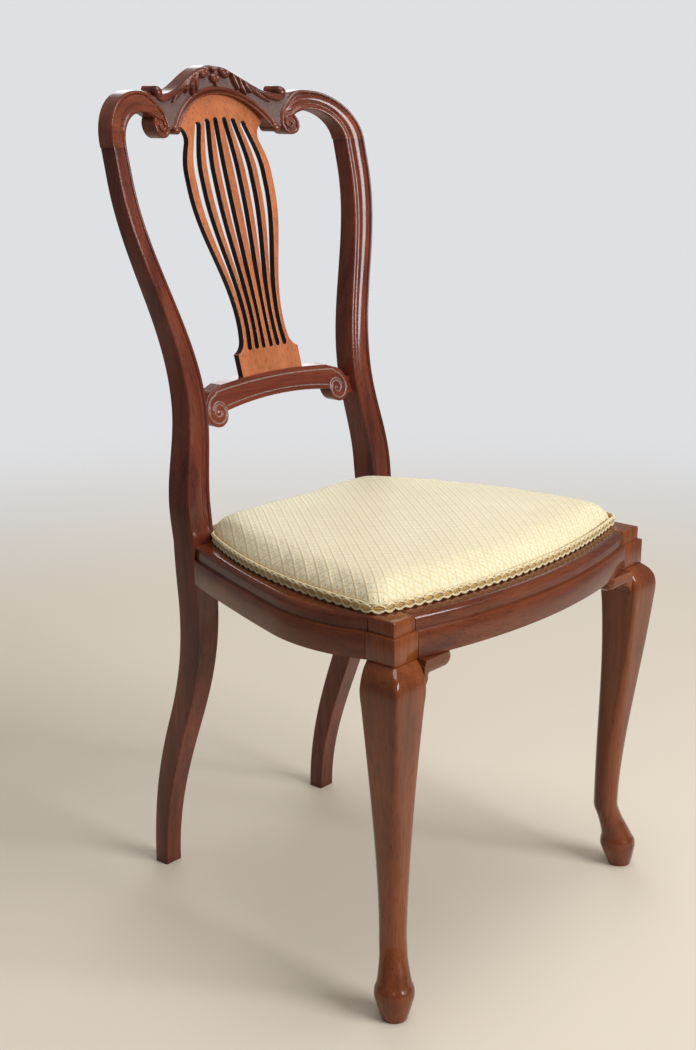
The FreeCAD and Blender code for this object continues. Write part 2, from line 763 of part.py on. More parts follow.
# seat pad
def pad_outline(inset, scale, z):
    """Four bowed sides with round corners, in short straight runs; the inset draws every side in."""
    fx = pad_front_half - inset
    fy = front_y + pad_front_set_back + inset
    rx = pad_rear_half - inset
    ry = pad_rear_overlap - inset
    c = pad_corner
    middle_y = (front_y + ry) / 2
    side_mid = (fx + rx) / 2 + pad_side_bow
    front_drop = pad_front_bow * (1 - ((fx - c) / fx) ** 2)
    side_rise = pad_side_bow * 4 * c / (ry - fy)
    slope = (fx - rx) / (ry - fy)
    a = (fx - c, fy - front_drop)
    b = (fx - slope * c + side_rise, fy + c)
    d = (rx + slope * c / 2 + side_rise / 2, ry - c / 2)
    e = (rx - c / 2, ry)
    runs = [((0, fy - pad_front_bow), (a[0] * 0.5, fy - pad_front_bow * 0.75 - front_drop * 0.25), a, 4),
            (a, (fx - c * 0.16, fy + c * 0.02), b, 3),
            (b, (side_mid, (fy + ry) / 2), d, 7),
            (d, (rx + (side_rise - c * 0.3) / 4, ry - c * 0.12), e, 2)]
    half = []
    for first, middle, last, steps in runs:
        curve = arc(first + (0,), middle + (0,), last + (0,))
        half += [(p.x, p.y) for p in curve.discretize(steps + 1)[:-1]]
    half.append(e)
    ring = half + [(-x, y) for x, y in reversed(half[1:])]
    return [(x * scale, middle_y + (y - middle_y) * scale, z) for x, y in ring]


def pad_solid(inset, low):
    """Upright edge, rounded shoulder, and a crown that rises to the middle."""
    wall = seat_height + pad_wall
    rise = pad_crown - pad_wall - inset
    rings = [pad_outline(inset, 1, low)]
    rings += [pad_outline(inset, scale, wall + rise * share) for scale, share in pad_profile]
    faces = [Part.Face(polygon(rings[0])), Part.Face(polygon(rings[-1]))]
    for below, above in zip(rings, rings[1:]):
        for i in range(len(below)):
            faces.append(Part.Face(polygon([below[i - 1], below[i], above[i], above[i - 1]])))
    return Part.makeSolid(Part.makeShell(faces))


def post_notches():
    outer, inner, front_out, front_in, depth = post_plan(seat_height)
    box = Part.makeBox(block_size * 2, 2 * depth, 3 * pad_crown,
                       Vector(inner - post_clear, -post_clear, seat_height - 1))
    return [box, mirrored(box)]


def notched(solid):
    return biggest(solid.cut(post_notches()))


def pad_slice(inset, low, thick):
    return Part.Face(polygon(pad_outline(inset, 1, low))).extrude(Z * thick)


def webbing(across, low):
    area = pad_slice(webbing_inset, low, webbing_thickness).cut(post_notches())
    straps = []
    for place in (-1, 0, 1):
        if across:
            y = (front_y + pad_rear_overlap) / 2 + place * webbing_pitch_cross - webbing_width / 2
            strip = Part.makeBox(reach, webbing_width, webbing_thickness, Vector(-reach / 2, y, low))
        else:
            x = place * webbing_pitch_long - webbing_width / 2
            strip = Part.makeBox(webbing_width, reach, webbing_thickness, Vector(x, -reach / 2, low))
        straps += strip.common(area).Solids
    return straps


def gimp_braid():
    low = seat_height + soft_gap
    ring = pad_slice(-soft_gap - gimp_thickness, low, gimp_height)
    ring = ring.cut(pad_slice(-soft_gap, low - 1, gimp_height + 2))
    return ring.cut(post_notches()).Solids


# assembly
def tenon(middle, direction, tall, height, length, grow=0):
    """Flat tongue on the end of a piece; grown by the fit it cuts its own mortise."""
    side = direction.cross(tall)
    half = tenon_thickness / 2 + grow
    up = height / 2 + grow
    root = joint_gap if grow else tenon_root
    start = middle - direction * root
    corners = [start + side * half * a + tall * up * b for a, b in ((-1, -1), (1, -1), (1, 1), (-1, 1))]
    return Part.Face(Part.makePolygon(corners + corners[:1])).extrude(direction * (length + grow + root))


def joint(pieces, rail, holder, middle, direction, tall, height, length):
    size = (middle, direction, tall, height, length)
    pieces[rail] = pieces[rail].fuse(tenon(*size))
    pieces[holder] = pieces[holder].cut(tenon(*size, grow=fit_gap))


def seat_joints(pieces):
    """Mortise and tenon joints of the seat frame, on both sides of the chair."""
    z = rail_bottom + rail_height / 2
    rear_y = rear_rail_set_back + rear_rail_thickness / 2
    for side, word in ((-1, "left"), (1, "right")):
        leg, post, rail = "front_leg_" + word, "back_post_" + word, "side_rail_" + word
        leg_x = side * (front_width / 2 - side_tenon_line)
        post_x = side * (post_plan(z)[0] - side_tenon_line)
        for name, holder, middle, direction, length in [
                ("front_rail", leg, Vector(side * block_in, front_y + block_size / 2, z), X * side, tenon_in_leg),
                (rail, leg, Vector(leg_x, front_y + block_size, z), Y * -1, tenon_in_leg),
                (rail, post, Vector(post_x, 0, z), Y, tenon_in_post),
                ("rear_rail", post, Vector(side * post_plan(z)[1], rear_y, z), X * side, tenon_in_post_short)]:
            joint(pieces, name, holder, middle, direction, Z, tenon_height, length)


def back_joints(pieces):
    """Tenons of the posts in the crest rail and of the cross rail in the posts."""
    for side, word in ((-1, "left"), (1, "right")):
        post = "back_post_" + word
        y = post_front(joint_z) + back_depth / 2
        joint(pieces, post, "crest_rail", Vector(side * post_shoulder_spread, y, joint_z), Z, X,
              crest_tenon_width, crest_tenon_length)
        y = cross_front(cross_volute_z) + cross_depth / 2
        joint(pieces, "cross_rail", post, Vector(side * post_plan(cross_volute_z)[1], y, cross_volute_z),
              X * side, Z, cross_tenon_height, cross_tenon_length)


def corner_blocks(pieces):
    """Triangular blocks glued into the four inner corners of the frame."""
    z = (rail_bottom + seat_height) / 2
    for side, word in ((-1, "left"), (1, "right")):
        for end in ("front", "rear"):
            if end == "front":
                corner = (block_in + block_size / 3, front_y + block_size * 0.8)
                names = ["front_rail", "side_rail_" + word, "front_leg_" + word]
                run = corner_block_leg + block_size / 3
                turn = 1
            else:
                corner = (post_plan(z)[1] + corner_block_lap, rear_rail_set_back + 2)
                names = ["rear_rail", "side_rail_" + word, "back_post_" + word]
                run = corner_block_leg + corner_block_lap
                turn = -1
            near = [pieces[n] if side == 1 else mirrored(pieces[n]) for n in names]
            block = corner_block(corner, run, run * turn, near)
            pieces["corner_block_%s_%s" % (end, word)] = block if side == 1 else mirrored(block)


def build():
    pieces = {}
    post = post_solid().cut(post_channel())
    posts = [mirrored(post), post]
    mortise = splat_mortise()
    leg = front_leg()
    bracket = knee_bracket()
    rail = side_rail()
    for side, word in ((-1, "left"), (1, "right")):
        right = side == 1
        pieces["back_post_" + word] = posts[1] if right else posts[0]
        pieces["front_leg_" + word] = leg if right else mirrored(leg)
        pieces["knee_bracket_" + word] = bracket if right else mirrored(bracket)
        pieces["side_rail_" + word] = rail if right else mirrored(rail)
    pieces["crest_rail"] = crest_rail(mortise).cut([p.translated(Z * joint_gap) for p in posts])
    pieces["cross_rail"] = cross_rail(posts, mortise)
    pieces["lyre_splat"] = lyre_splat()
    pieces["front_rail"] = front_rail()
    pieces["rear_rail"] = rear_rail(posts)

    seat_joints(pieces)
    back_joints(pieces)
    corner_blocks(pieces)

    low = seat_height + soft_gap
    second = low + webbing_thickness + joint_gap
    cloth_low = second + webbing_thickness + joint_gap
    stuffing_low = cloth_low + cloth_thickness + joint_gap
    cavity = pad_solid(cover_thickness, seat_height - 1)
    pieces["seat_cover"] = notched(pad_solid(0, low).cut(cavity))
    pieces["seat_stuffing"] = notched(pad_solid(cover_thickness + soft_gap, stuffing_low))
    pieces["base_cloth"] = notched(pad_slice(webbing_inset / 2, cloth_low, cloth_thickness))

    groups = {name: [solid] for name, solid in pieces.items()}
    groups["webbing_long"] = webbing(False, low)
    groups["webbing_cross"] = webbing(True, second)
    groups["gimp_braid"] = gimp_braid()
    return groups


def single(shape):
    solids = shape.Solids
    return solids[0] if len(solids) == 1 else Part.makeCompound(solids)


def export(groups):
    """Centre the chair over its footprint and write one file for each named piece."""
    shapes = {name: single(Part.makeCompound(solids)) for name, solids in groups.items()}
    box = Part.makeCompound(list(shapes.values())).optimalBoundingBox()
    shift = Y * -(box.YMin + box.YMax) / 2
    os.makedirs("parts", exist_ok=True)
    for name, shape in shapes.items():
        moved = shape.translated(shift)
        print(name, len(moved.Solids), round(moved.Volume), moved.isValid())
        moved.exportStep("parts/" + name + ".step")
    print("front to back", round(box.YLength, 1), "shift", round(shift.y, 2), "top", round(box.ZMax, 1))


export(build())
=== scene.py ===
import math
import bmesh
import bpy
import numpy as np
from mathutils import Matrix, Vector
from mathutils.geometry import delaunay_2d_cdt


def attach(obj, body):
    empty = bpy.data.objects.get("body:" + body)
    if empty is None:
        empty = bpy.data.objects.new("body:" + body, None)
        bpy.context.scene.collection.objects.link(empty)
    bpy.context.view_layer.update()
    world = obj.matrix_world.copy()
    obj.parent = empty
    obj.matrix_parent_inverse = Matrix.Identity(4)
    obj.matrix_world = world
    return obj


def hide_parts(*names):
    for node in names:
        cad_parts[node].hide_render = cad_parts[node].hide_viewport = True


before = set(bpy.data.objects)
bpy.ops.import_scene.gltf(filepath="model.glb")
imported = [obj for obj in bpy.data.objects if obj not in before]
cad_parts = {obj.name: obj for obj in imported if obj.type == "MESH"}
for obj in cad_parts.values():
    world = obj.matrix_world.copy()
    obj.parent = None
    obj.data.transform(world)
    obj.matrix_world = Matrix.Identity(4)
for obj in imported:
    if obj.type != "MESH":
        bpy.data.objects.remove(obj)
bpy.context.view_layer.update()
print("frame loaded")

# Sizes in the dictionaries are millimetres in the chair's own frame: x across, y to the back, z up.
mm = 0.001
chair = {
    "shiftY": 102.37,      # front faces of the posts at seat level
    "seatZ": 425.0,
    "jointZ": 850.0,       # posts meet the crest rail
    "railLow": 381.5,
    "stepZ": 409.7,
    "stepIn": 3.8,
    "frontY": -329.3,      # front of the leg blocks, before the shift
    "frontHalf": 224.7,
    "block": 36.8,
}
seatZ, jointZ, railLow = chair["seatZ"], chair["jointZ"], chair["railLow"]
frontY, frontHalf, block = chair["frontY"], chair["frontHalf"], chair["block"]


# curves of the chair, the same ones that the solids follow
def ease(a, b, t):
    t = np.clip(t, 0, 1)
    return a + (b - a) * (1 - np.cos(np.pi * t)) / 2


def chain(stops, z):
    z = np.asarray(z, float)
    out = np.full(z.shape, float(stops[-1][1]))
    for (z0, v0), (z1, v1) in reversed(list(zip(stops, stops[1:]))):
        out = np.where(z <= z1, ease(v0, v1, (z - z0) / (z1 - z0)), out)
    return out


postCurve = {
    "middle": [(0, 139.8), (200, 144.2), (460, 155.5), (580, 139.2), (820, 187.3)],
    "width": [(0, 24.0), (425, 33.0), (460, 34.5), (700, 26.0)],
    "depth": [(0, 20.5), (200, 29.0), (425, 33.5), (580, 28.5), (850, 22.5)],
    "sweep": 86.0,             # how far the rear legs go back
    "straightZ": 365.0,
    "rake": (0.115, 0.000145),
    "turnZ": 460.0,            # above it the posts turn with the bow of the back
    "topX": 187.3,
    "bowRadius": 583.0,
    "crestRake": 0.27,
}


def postFront(z):
    z = np.asarray(z, float)
    above = z - seatZ
    low = ease(postCurve["sweep"], 0, z / postCurve["straightZ"])
    a, b = postCurve["rake"]
    return np.where(above < 0, low, a * above + b * above ** 2)


def postPlan(z):
    # outer side, inner side, front at each of them, depth
    z = np.asarray(z, float)
    c = postCurve
    middle, width, depth = [chain(c[word], z) for word in ("middle", "width", "depth")]
    turn = ease(0, 1, (z - c["turnZ"]) / (jointZ - c["turnZ"]))
    lag = turn * c["topX"] / math.sqrt(c["bowRadius"] ** 2 - c["topX"] ** 2) * width / 2
    return middle + width / 2, middle - width / 2, postFront(z) - lag, postFront(z) + lag, depth


def bow(x):
    r = postCurve["bowRadius"]
    return r - np.sqrt(r ** 2 - np.asarray(x, float) ** 2)


def crestFront(x, z):
    rake = postCurve["crestRake"] * (np.asarray(z, float) - jointZ)
    return postFront(jointZ) + bow(postCurve["topX"]) - bow(x) + rake


# nodes: an output passed as an input is linked, a number on a colour is a grey
def asColour(value):
    return value if isinstance(value, tuple) else (value,) * 3


def feed(tree, socket, value):
    if hasattr(value, "links"):
        tree.links.new(value, socket)
    elif socket.type == "RGBA":
        socket.default_value = (*asColour(value), 1)
    else:
        socket.default_value = value


def node(tree, kind, inputs=None, **fields):
    made = tree.nodes.new("ShaderNode" + kind)
    for field, value in fields.items():
        setattr(made, field, value)
    for socket, value in (inputs or {}).items():
        feed(tree, made.inputs[socket], value)
    return made


def newFinish(name):
    mat = bpy.data.materials.new(name)
    mat.use_nodes = True
    mat.node_tree.nodes.clear()
    return mat, mat.node_tree, node(mat.node_tree, "TexCoord").outputs["Object"]


def surface(tree, inputs):
    node(tree, "OutputMaterial", {0: node(tree, "BsdfPrincipled", inputs).outputs[0]})


def ramp(tree, source, *stops):
    made = node(tree, "ValToRGB", {0: source})
    steps = made.color_ramp.elements
    steps.remove(steps[-1])
    steps[0].position = stops[0][0]
    for place, colour in stops[1:]:
        steps.new(place)
    for step, (place, colour) in zip(steps, stops):
        step.color = (*asColour(colour), 1)
    return made.outputs[0]


def noise(tree, vector, scale, detail=4, rough=0.55, out="Fac"):
    made = node(tree, "TexNoise", {"Scale": scale, "Detail": detail, "Roughness": rough, "Vector": vector})
    return made.outputs[out]


def mapped(tree, source, scale, shift=(0, 0, 0)):
    return node(tree, "Mapping", {"Scale": scale, "Location": shift, "Vector": source}).outputs[0]


def mix(tree, kind, factor, a, b):
    return node(tree, "Mix", {0: factor, 6: a, 7: b}, data_type="RGBA", blend_type=kind).outputs[2]


def maths(tree, kind, a, b=0.0):
    return node(tree, "Math", {0: a, 1: b}, operation=kind).outputs[0]


def bump(tree, height, distance, strength=1.0, over=None):
    made = node(tree, "Bump", {"Height": height, "Distance": distance, "Strength": strength})
    if over is not None:
        feed(tree, made.inputs["Normal"], over)
    return made.outputs[0]


mahogany = {   # for each figure: marks to the metre across the grain, and along it
    "bend": (5, 2.5), "bendBy": 0.035,
    "streaks": (42.0, 1.6),
    "ribbon": (16, 5),
    "pores": (620.0, 26.0), "poreDepth": 0.00006,
    "ripple": 0.00025,         # slow waviness of an old polished surface
    "punch": 620.0, "punchDepth": 0.0006, "punchRough": 0.5,
    "specular": 0.28, "coatRough": 0.1,
}
acrossGrain = {"z": (1, 1, 0), "x": (0, 1, 1), "y": (1, 0, 1)}


def polishedWood(name, tones, along="z", polish=0.17, coat=0.28, pointinessTint=True, shift=(0, 0, 0), ground=None):
    mat, tree, coords = newFinish(name)
    m = mahogany
    dark, middle, light = tones

    def figure(source, word, detail, rough=0.55, out="Fac"):
        across, lengthwise = m[word]
        scale = tuple(across if c else lengthwise for c in acrossGrain[along])
        return noise(tree, mapped(tree, source, scale, shift), 1.0, detail, rough, out)

    swing = {0: figure(coords, "bend", 2, out="Color"), 1: (m["bendBy"],) * 3, 2: coords}
    warped = node(tree, "VectorMath", swing, operation="MULTIPLY_ADD").outputs[0]
    streaks = ramp(tree, figure(warped, "streaks", 7, 0.62), (0.28, dark), (0.5, middle), (0.74, light))
    ribbon = ramp(tree, figure(warped, "ribbon", 3, 0.5), (0.3, 0.72), (0.7, 1.0))
    pores = ramp(tree, figure(warped, "pores", 2, 0.5), (0.36, 0.0), (0.46, 1.0))
    colour = mix(tree, "MULTIPLY", 1.0, streaks, ribbon)
    colour = mix(tree, "MULTIPLY", 0.6, colour, mix(tree, "MIX", pores, 0.5, 1.0))
    if pointinessTint:                   # the arrises lighter and the hollows darker, from the mesh's pointiness
        edge = node(tree, "NewGeometry").outputs["Pointiness"]
        bright = tuple(min(1, c * 1.3) for c in light)
        colour = mix(tree, "MIX", ramp(tree, edge, (0.545, 0.0), (0.68, 0.6)), colour, bright)
        colour = mix(tree, "MULTIPLY", 0.85, colour, ramp(tree, edge, (0.38, 0.25), (0.485, 1.0)))
    rough = ramp(tree, noise(tree, coords, 14.0, 3), (0.3, polish - 0.05), (0.7, polish + 0.12))
    normal = bump(tree, noise(tree, coords, 30.0, 2), m["ripple"], 0.5)
    normal = bump(tree, pores, m["poreDepth"], 0.35, normal)
    if ground:                 # matt punched ground where the mesh is marked
        where = node(tree, "Attribute", attribute_name="ground").outputs["Fac"]
        punch = node(tree, "TexVoronoi", {"Scale": m["punch"], "Vector": coords}).outputs["Distance"]
        dots = ramp(tree, punch, (0.15, tuple(c * 0.5 for c in ground)), (0.5, ground))
        colour = mix(tree, "MIX", where, colour, dots)
        rough = mix(tree, "MIX", where, rough, m["punchRough"])
        normal = bump(tree, maths(tree, "MULTIPLY", punch, where), m["punchDepth"], 0.8, normal)
    surface(tree, {"Base Color": colour, "Roughness": rough, "Normal": normal, "Coat Weight": coat,
                   "Coat Roughness": m["coatRough"], "Specular IOR Level": m["specular"]})
    return mat


woodTones = {   # dark, middle and light streaks
    "post": ((0.060, 0.0115, 0.0060), (0.155, 0.0320, 0.0155), (0.250, 0.058, 0.026)),
    "rail": ((0.062, 0.0130, 0.0050), (0.150, 0.0330, 0.0105), (0.230, 0.056, 0.017)),
    "leg": ((0.100, 0.0230, 0.0070), (0.185, 0.0450, 0.0125), (0.270, 0.071, 0.019)),
    "splat": ((0.390, 0.1080, 0.0370), (0.500, 0.1520, 0.0540), (0.590, 0.195, 0.075)),
    # lighter than the cross rail's tones: painted highlight, since the crest shoulders shine in the light
    "crest": ((0.080, 0.0165, 0.0080), (0.190, 0.0430, 0.0190), (0.300, 0.078, 0.034)),
    "cross": ((0.075, 0.0140, 0.0070), (0.170, 0.0330, 0.0150), (0.260, 0.058, 0.025)),
    # nearly black tones: painted shade for the splat's outer and slot walls
    "paintedShadeEdge": ((0.012, 0.0040, 0.0030), (0.020, 0.0062, 0.0044), (0.032, 0.010, 0.006)),
    "beech": ((0.22, 0.12, 0.06), (0.36, 0.21, 0.11), (0.48, 0.3, 0.17)),
}
woodKinds = {   # name of the finish, tones, and what differs from plain polished mahogany
    "post": ("postMahogany", "post", {}),
    "railAcross": ("frontRailMahogany", "rail", {"along": "x"}),
    "railBack": ("sideRailMahogany", "rail", {"along": "y", "shift": (0.3, 0.2, 0.7)}),
    "leg": ("legMahogany", "leg", {"shift": (0.9, 0.1, 0)}),
    "splat": ("splatMahogany", "splat",
              {"polish": 0.34, "coat": 0.15, "pointinessTint": False, "shift": (0.1, 0.5, 0)}),
    "carved": ("carvedMahoganyPaintedHighlight", "crest",
               {"along": "x", "shift": (0.2, 0.8, 0.1), "ground": (0.15, 0.085, 0.075)}),
    "paintedShadeEdge": ("paintedShadeEdgeMahogany", "paintedShadeEdge", {"polish": 0.42, "coat": 0.1, "pointinessTint": False}),
    "cross": ("crossRailMahogany", "cross",
              {"along": "x", "shift": (0.6, 0.4, 0.2), "ground": (0.34, 0.25, 0.21)}),
    "block": ("glueBlockBeech", "beech", {"along": "y", "polish": 0.6, "coat": 0.0, "pointinessTint": False}),
    "bracket": ("bracketMahogany", "leg", {"along": "x", "shift": (0.4, 0.4, 0.4)}),
}
wood = {key: polishedWood(name, woodTones[tones], **more) for key, (name, tones, more) in woodKinds.items()}
print("wood finishes made")


# mesh helpers
def outwardNormals(obj, angle=None):
    bm = bmesh.new()
    bm.from_mesh(obj.data)
    bmesh.ops.recalc_face_normals(bm, faces=bm.faces)
    bm.to_mesh(obj.data)
    bm.free()
    if angle is not None:
        obj.data.set_sharp_from_angle(angle=math.radians(angle))


def placed(name, data):
    obj = bpy.data.objects.new(name, data)
    bpy.context.scene.collection.objects.link(obj)
    return obj


def smoothed(mesh):
    mesh.polygons.foreach_set("use_smooth", [True] * len(mesh.polygons))


def places(mesh):
    co = np.empty(len(mesh.vertices) * 3)
    mesh.vertices.foreach_get("co", co)
    return co.reshape(-1, 3)


def meshPiece(name, verts, faces, mat, replaces=(), slot=None, smooth=True, angle=None, tidy=False):
    mesh = bpy.data.meshes.new(name)
    mesh.from_pydata([tuple(v) for v in np.asarray(verts, float) * mm], [], [tuple(f) for f in faces])
    mesh.validate()
    mesh.update()
    mesh.materials.append(mat)
    obj = placed(name, mesh)
    if smooth:
        smoothed(mesh)
        if angle is not None:
            mesh.set_sharp_from_angle(angle=math.radians(angle))
    if tidy:
        outwardNormals(obj, angle)
    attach(obj, "root")
    if replaces:
        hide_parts(*replaces)
    return obj


def toFrame(points):
    p = np.asarray(points, float).copy()
    p[..., 1] += chair["shiftY"]
    return p


def skin(rings, caps=True, closedPath=False):
    # quads between neighbouring rings of points
    rings = [toFrame(r) for r in rings]
    n, count = len(rings[0]), len(rings)
    faces = []
    for i in range(count if closedPath else count - 1):
        j = (i + 1) % count
        for k in range(n):
            k2 = (k + 1) % n
            faces.append((i * n + k, i * n + k2, j * n + k2, j * n + k))
    if caps and not closedPath:
        faces.append(tuple(range(n - 1, -1, -1)))
        faces.append(tuple((count - 1) * n + k for k in range(n)))
    return np.concatenate(rings), faces


def joined(parts):
    verts, faces = np.zeros((0, 3)), []
    for v, f in parts:
        faces += [tuple(i + len(verts) for i in q) for q in f]
        verts = np.concatenate([verts, v])
    return verts, faces


def mirrorX(verts, faces):
    v = np.array(verts, float)
    v[:, 0] *= -1
    return v, [tuple(reversed(f)) for f in faces]


def bothSides(name, verts, faces, mat, solid, **more):
    for word in ("right", "left"):
        v, f = (verts, faces) if word == "right" else mirrorX(verts, faces)
        meshPiece(name + word.capitalize(), v, f, mat, replaces=[solid + "_" + word], **more)


def arc3(a, b, c, steps):
    # points on the arc through a, b and c, the last one left out
    a, b, c = [np.array(p, float) for p in (a, b, c)]
    share = np.linspace(0, 1, steps, endpoint=False)
    d = 2 * (a[0] * (b[1] - c[1]) + b[0] * (c[1] - a[1]) + c[0] * (a[1] - b[1]))
    if abs(d) < 1e-9:
        return [tuple(a + (c - a) * t) for t in share]
    ux = ((a @ a) * (b[1] - c[1]) + (b @ b) * (c[1] - a[1]) + (c @ c) * (a[1] - b[1])) / d
    uy = ((a @ a) * (c[0] - b[0]) + (b @ b) * (a[0] - c[0]) + (c @ c) * (b[0] - a[0])) / d
    o = np.array([ux, uy])
    r = np.linalg.norm(a - o)
    t0, t1, t2 = [math.atan2(*(p - o)[::-1]) for p in (a, b, c)]
    span = (t2 - t0) % (2 * math.pi)
    if (t1 - t0) % (2 * math.pi) > span:
        span -= 2 * math.pi
    return [(o[0] + r * math.cos(t0 + span * t), o[1] + r * math.sin(t0 + span * t)) for t in share]


def around(cx, cz, r, degrees):
    q = np.radians(degrees)
    return np.stack([cx + r * np.cos(q), cz + r * np.sin(q)], 1)


def ellipse(cx, cz, a, b, first, last, count):
    q = np.radians(np.linspace(first, last, count))
    return np.stack([cx + a * np.cos(q), cz + b * np.sin(q)], 1)


def archLine(x, crown, radius):
    return np.stack([x, crown - radius + np.sqrt(radius ** 2 - x ** 2)], 1)


def evenly(points, step):
    p = np.asarray(points, float)
    run = np.concatenate([[0], np.cumsum(np.hypot(*np.diff(p, axis=0).T))])
    at = np.linspace(0, run[-1], max(2, int(run[-1] / step) + 1))
    return np.stack([np.interp(at, run, p[:, 0]), np.interp(at, run, p[:, 1])], 1)


def swung(points, step=0.5):
    # smooth line through a few points
    p = np.asarray(points, float)
    ends = np.concatenate([[2 * p[0] - p[1]], p, [2 * p[-1] - p[-2]]])
    t = np.linspace(0, 1, 14, endpoint=False)[:, None]
    out = []
    for a, b, c, d in zip(ends, ends[1:], ends[2:], ends[3:]):
        out.append(0.5 * (2 * b + (c - a) * t + (2 * a - 5 * b + 4 * c - d) * t ** 2
                          + (3 * b - 3 * c + d - a) * t ** 3))
    return evenly(np.concatenate(out + [[p[-1]]]), step)


def smoothThrough(x, y, at):
    # cubic through the points, with slopes that never overshoot
    h = np.diff(x)
    d = np.diff(y) / h
    m = np.zeros(len(x))
    m[0], m[-1] = d[0], d[-1]
    for i in range(1, len(x) - 1):
        if d[i - 1] * d[i] > 0:
            w1, w2 = 2 * h[i] + h[i - 1], h[i] + 2 * h[i - 1]
            m[i] = (w1 + w2) / (w1 / d[i - 1] + w2 / d[i])
    k = np.clip(np.searchsorted(x, at, side="right") - 1, 0, len(h) - 1)
    t = (at - x[k]) / h[k]
    return (y[k] * (1 + 2 * t) * (1 - t) ** 2 + h[k] * m[k] * t * (1 - t) ** 2
            + y[k + 1] * t ** 2 * (3 - 2 * t) + h[k] * m[k + 1] * t ** 2 * (t - 1))


# posts: section of the moulded stile has an outer bead, a broad low swell, a groove and an inner bead
stileMoulding = {
    "outerBead": 3.6,
    "innerBead": 4.6,
    "sink": 2.2,
    "swell": 1.8,
    "groove": 3.1,
    "grooveAt": 8.6,       # from the inner edge
    "grooveWide": 1.7,
    "corner": 1.6,         # rounding of the plain rear leg
    "backCorner": 2.2,
    "from": (432, 12),     # the moulding fades in from this height, over this length
}


def swell(t):
    # height of the band at a share t of the way from the outer bead
    return stileMoulding["swell"] * np.sin(np.pi * np.clip(t * 1.25, 0, 1)) ** 0.8


def grooveCut(fromInside):
    s = stileMoulding
    return (s["groove"] - s["sink"]) * np.exp(-((fromInside - s["grooveAt"]) / s["grooveWide"]) ** 2)


def stileDepth(a, width):
    # how deep the face lies at a distance a from the outer edge
    s = stileMoulding
    r1, r2 = s["outerBead"] / 2, s["innerBead"] / 2
    outer = s["sink"] - dome((a - r1) / r1) * s["sink"]
    inner = s["sink"] - dome((a - width + r2) / r2) * s["sink"]
    start, stop = s["outerBead"], width - s["innerBead"]
    band = s["sink"] - swell(np.clip((a - start) / (stop - start), 0, 1)) + grooveCut(width - a)
    return np.where(a < start, outer, np.where(a > stop, inner, band))


def dome(d):
    return np.sqrt(np.clip(1 - d ** 2, 0, 1))


def stileSection(width, depth, moulded):
    # ring of (a, d): across from the outer edge, back from the face
    s = stileMoulding
    start, stop = s["outerBead"], width - s["innerBead"]
    stops = np.concatenate([np.linspace(0, start, 7), np.linspace(start + 0.3, stop - 0.3, 15),
                            np.linspace(stop, width, 8)])
    plain = roundOver(np.minimum(stops, width - stops), s["corner"])
    face = stileDepth(stops, width) * moulded + plain * (1 - moulded)
    r = s["backCorner"]
    back = [ellipse(cx, depth - r, r, r, first, first + 90, 5) for cx, first in ((width - r, 0), (r, 90))]
    return np.concatenate([np.stack([stops, face], 1), *back])


def roundOver(d, r):
    # how far a rounded arris falls away at a distance d from the edge
    near = np.clip(r - d, 0, r)
    return r - np.sqrt(np.maximum(r * r - near * near, 0))


def postMesh():
    levels = [np.linspace(0, 420, 50), np.linspace(424, 452, 15), np.linspace(458, jointZ - 0.05, 66)]
    start, length = stileMoulding["from"]
    rings = []
    for z in np.concatenate(levels):
        outer, inner, frontOut, frontIn, depth = [float(v) for v in postPlan(z)]
        section = stileSection(outer - inner, depth, float(ease(0, 1, (z - start) / length)))
        share = section[:, 0] / (outer - inner)
        y = frontOut + (frontIn - frontOut) * share + section[:, 1]
        rings.append(np.stack([outer - section[:, 0], y, np.full(len(y), z)], 1))
    return skin(rings)


bothSides("backPost", *postMesh(), wood["post"], "back_post", slot="mahogany_frame", angle=50)
print("posts made")


# relief panels: an outline filled with fine points, cut by a height and laid on the curved face of its rail
def nearest(p, line):
    # distance to a line, and how far along it the nearest place is
    far, share = np.zeros(len(p)), np.zeros(len(p))
    for start in range(0, len(p), 3000):
        part = p[start:start + 3000]
        k = ((part[:, None] - line[None]) ** 2).sum(2).argmin(1)
        best = np.full(len(part), 1e9)
        for a in (k - 1, k):
            a = np.clip(a, 0, len(line) - 2)
            ab = line[a + 1] - line[a]
            t = np.clip(((part - line[a]) * ab).sum(1) / np.maximum((ab ** 2).sum(1), 1e-9), 0, 1)
            best = np.minimum(best, np.hypot(*(part - line[a] - ab * t[:, None]).T))
        far[start:start + 3000] = best
        share[start:start + 3000] = k / (len(line) - 1)
    return far, share


def awayFrom(p, x, z):
    return np.hypot(p[:, 0] - x, p[:, 1] - z)


def inside(p, ring):
    hit = np.zeros(len(p), bool)
    x, z = p[:, 0], p[:, 1]
    for (x0, z0), (x1, z1) in zip(ring, np.roll(ring, -1, 0)):
        if z0 != z1:
            hit ^= ((z0 > z) != (z1 > z)) & (x < (x1 - x0) * (z - z0) / (z1 - z0) + x0)
    return hit


def triangulated(points, edges):
    # points, triangles, and where each given point went
    made = delaunay_2d_cdt([Vector(v) for v in points], edges, [], 1, 1e-5)
    place = {i: new for new, old in enumerate(made[3]) for i in old}
    return np.array([tuple(v) for v in made[0]]), np.array([tuple(f) for f in made[2]]), place


def filled(ring, step, gap):
    low, high = ring.min(0), ring.max(0)
    rows = step * 0.866        # even triangles
    gx, gz = np.meshgrid(np.arange(low[0], high[0], step), np.arange(low[1], high[1], rows))
    gx = gx + (np.arange(len(gx)) % 2 * step / 2)[:, None]
    p = np.stack([gx.ravel(), gz.ravel()], 1)
    p = p[inside(p, ring)]
    p = p[nearest(p, np.concatenate([ring, ring[:1]]))[0] > gap]
    n = len(ring)
    verts, faces, place = triangulated(np.concatenate([ring, p]), [(i, (i + 1) % n) for i in range(n)])
    return verts, faces, np.array([place[i] for i in range(n)])


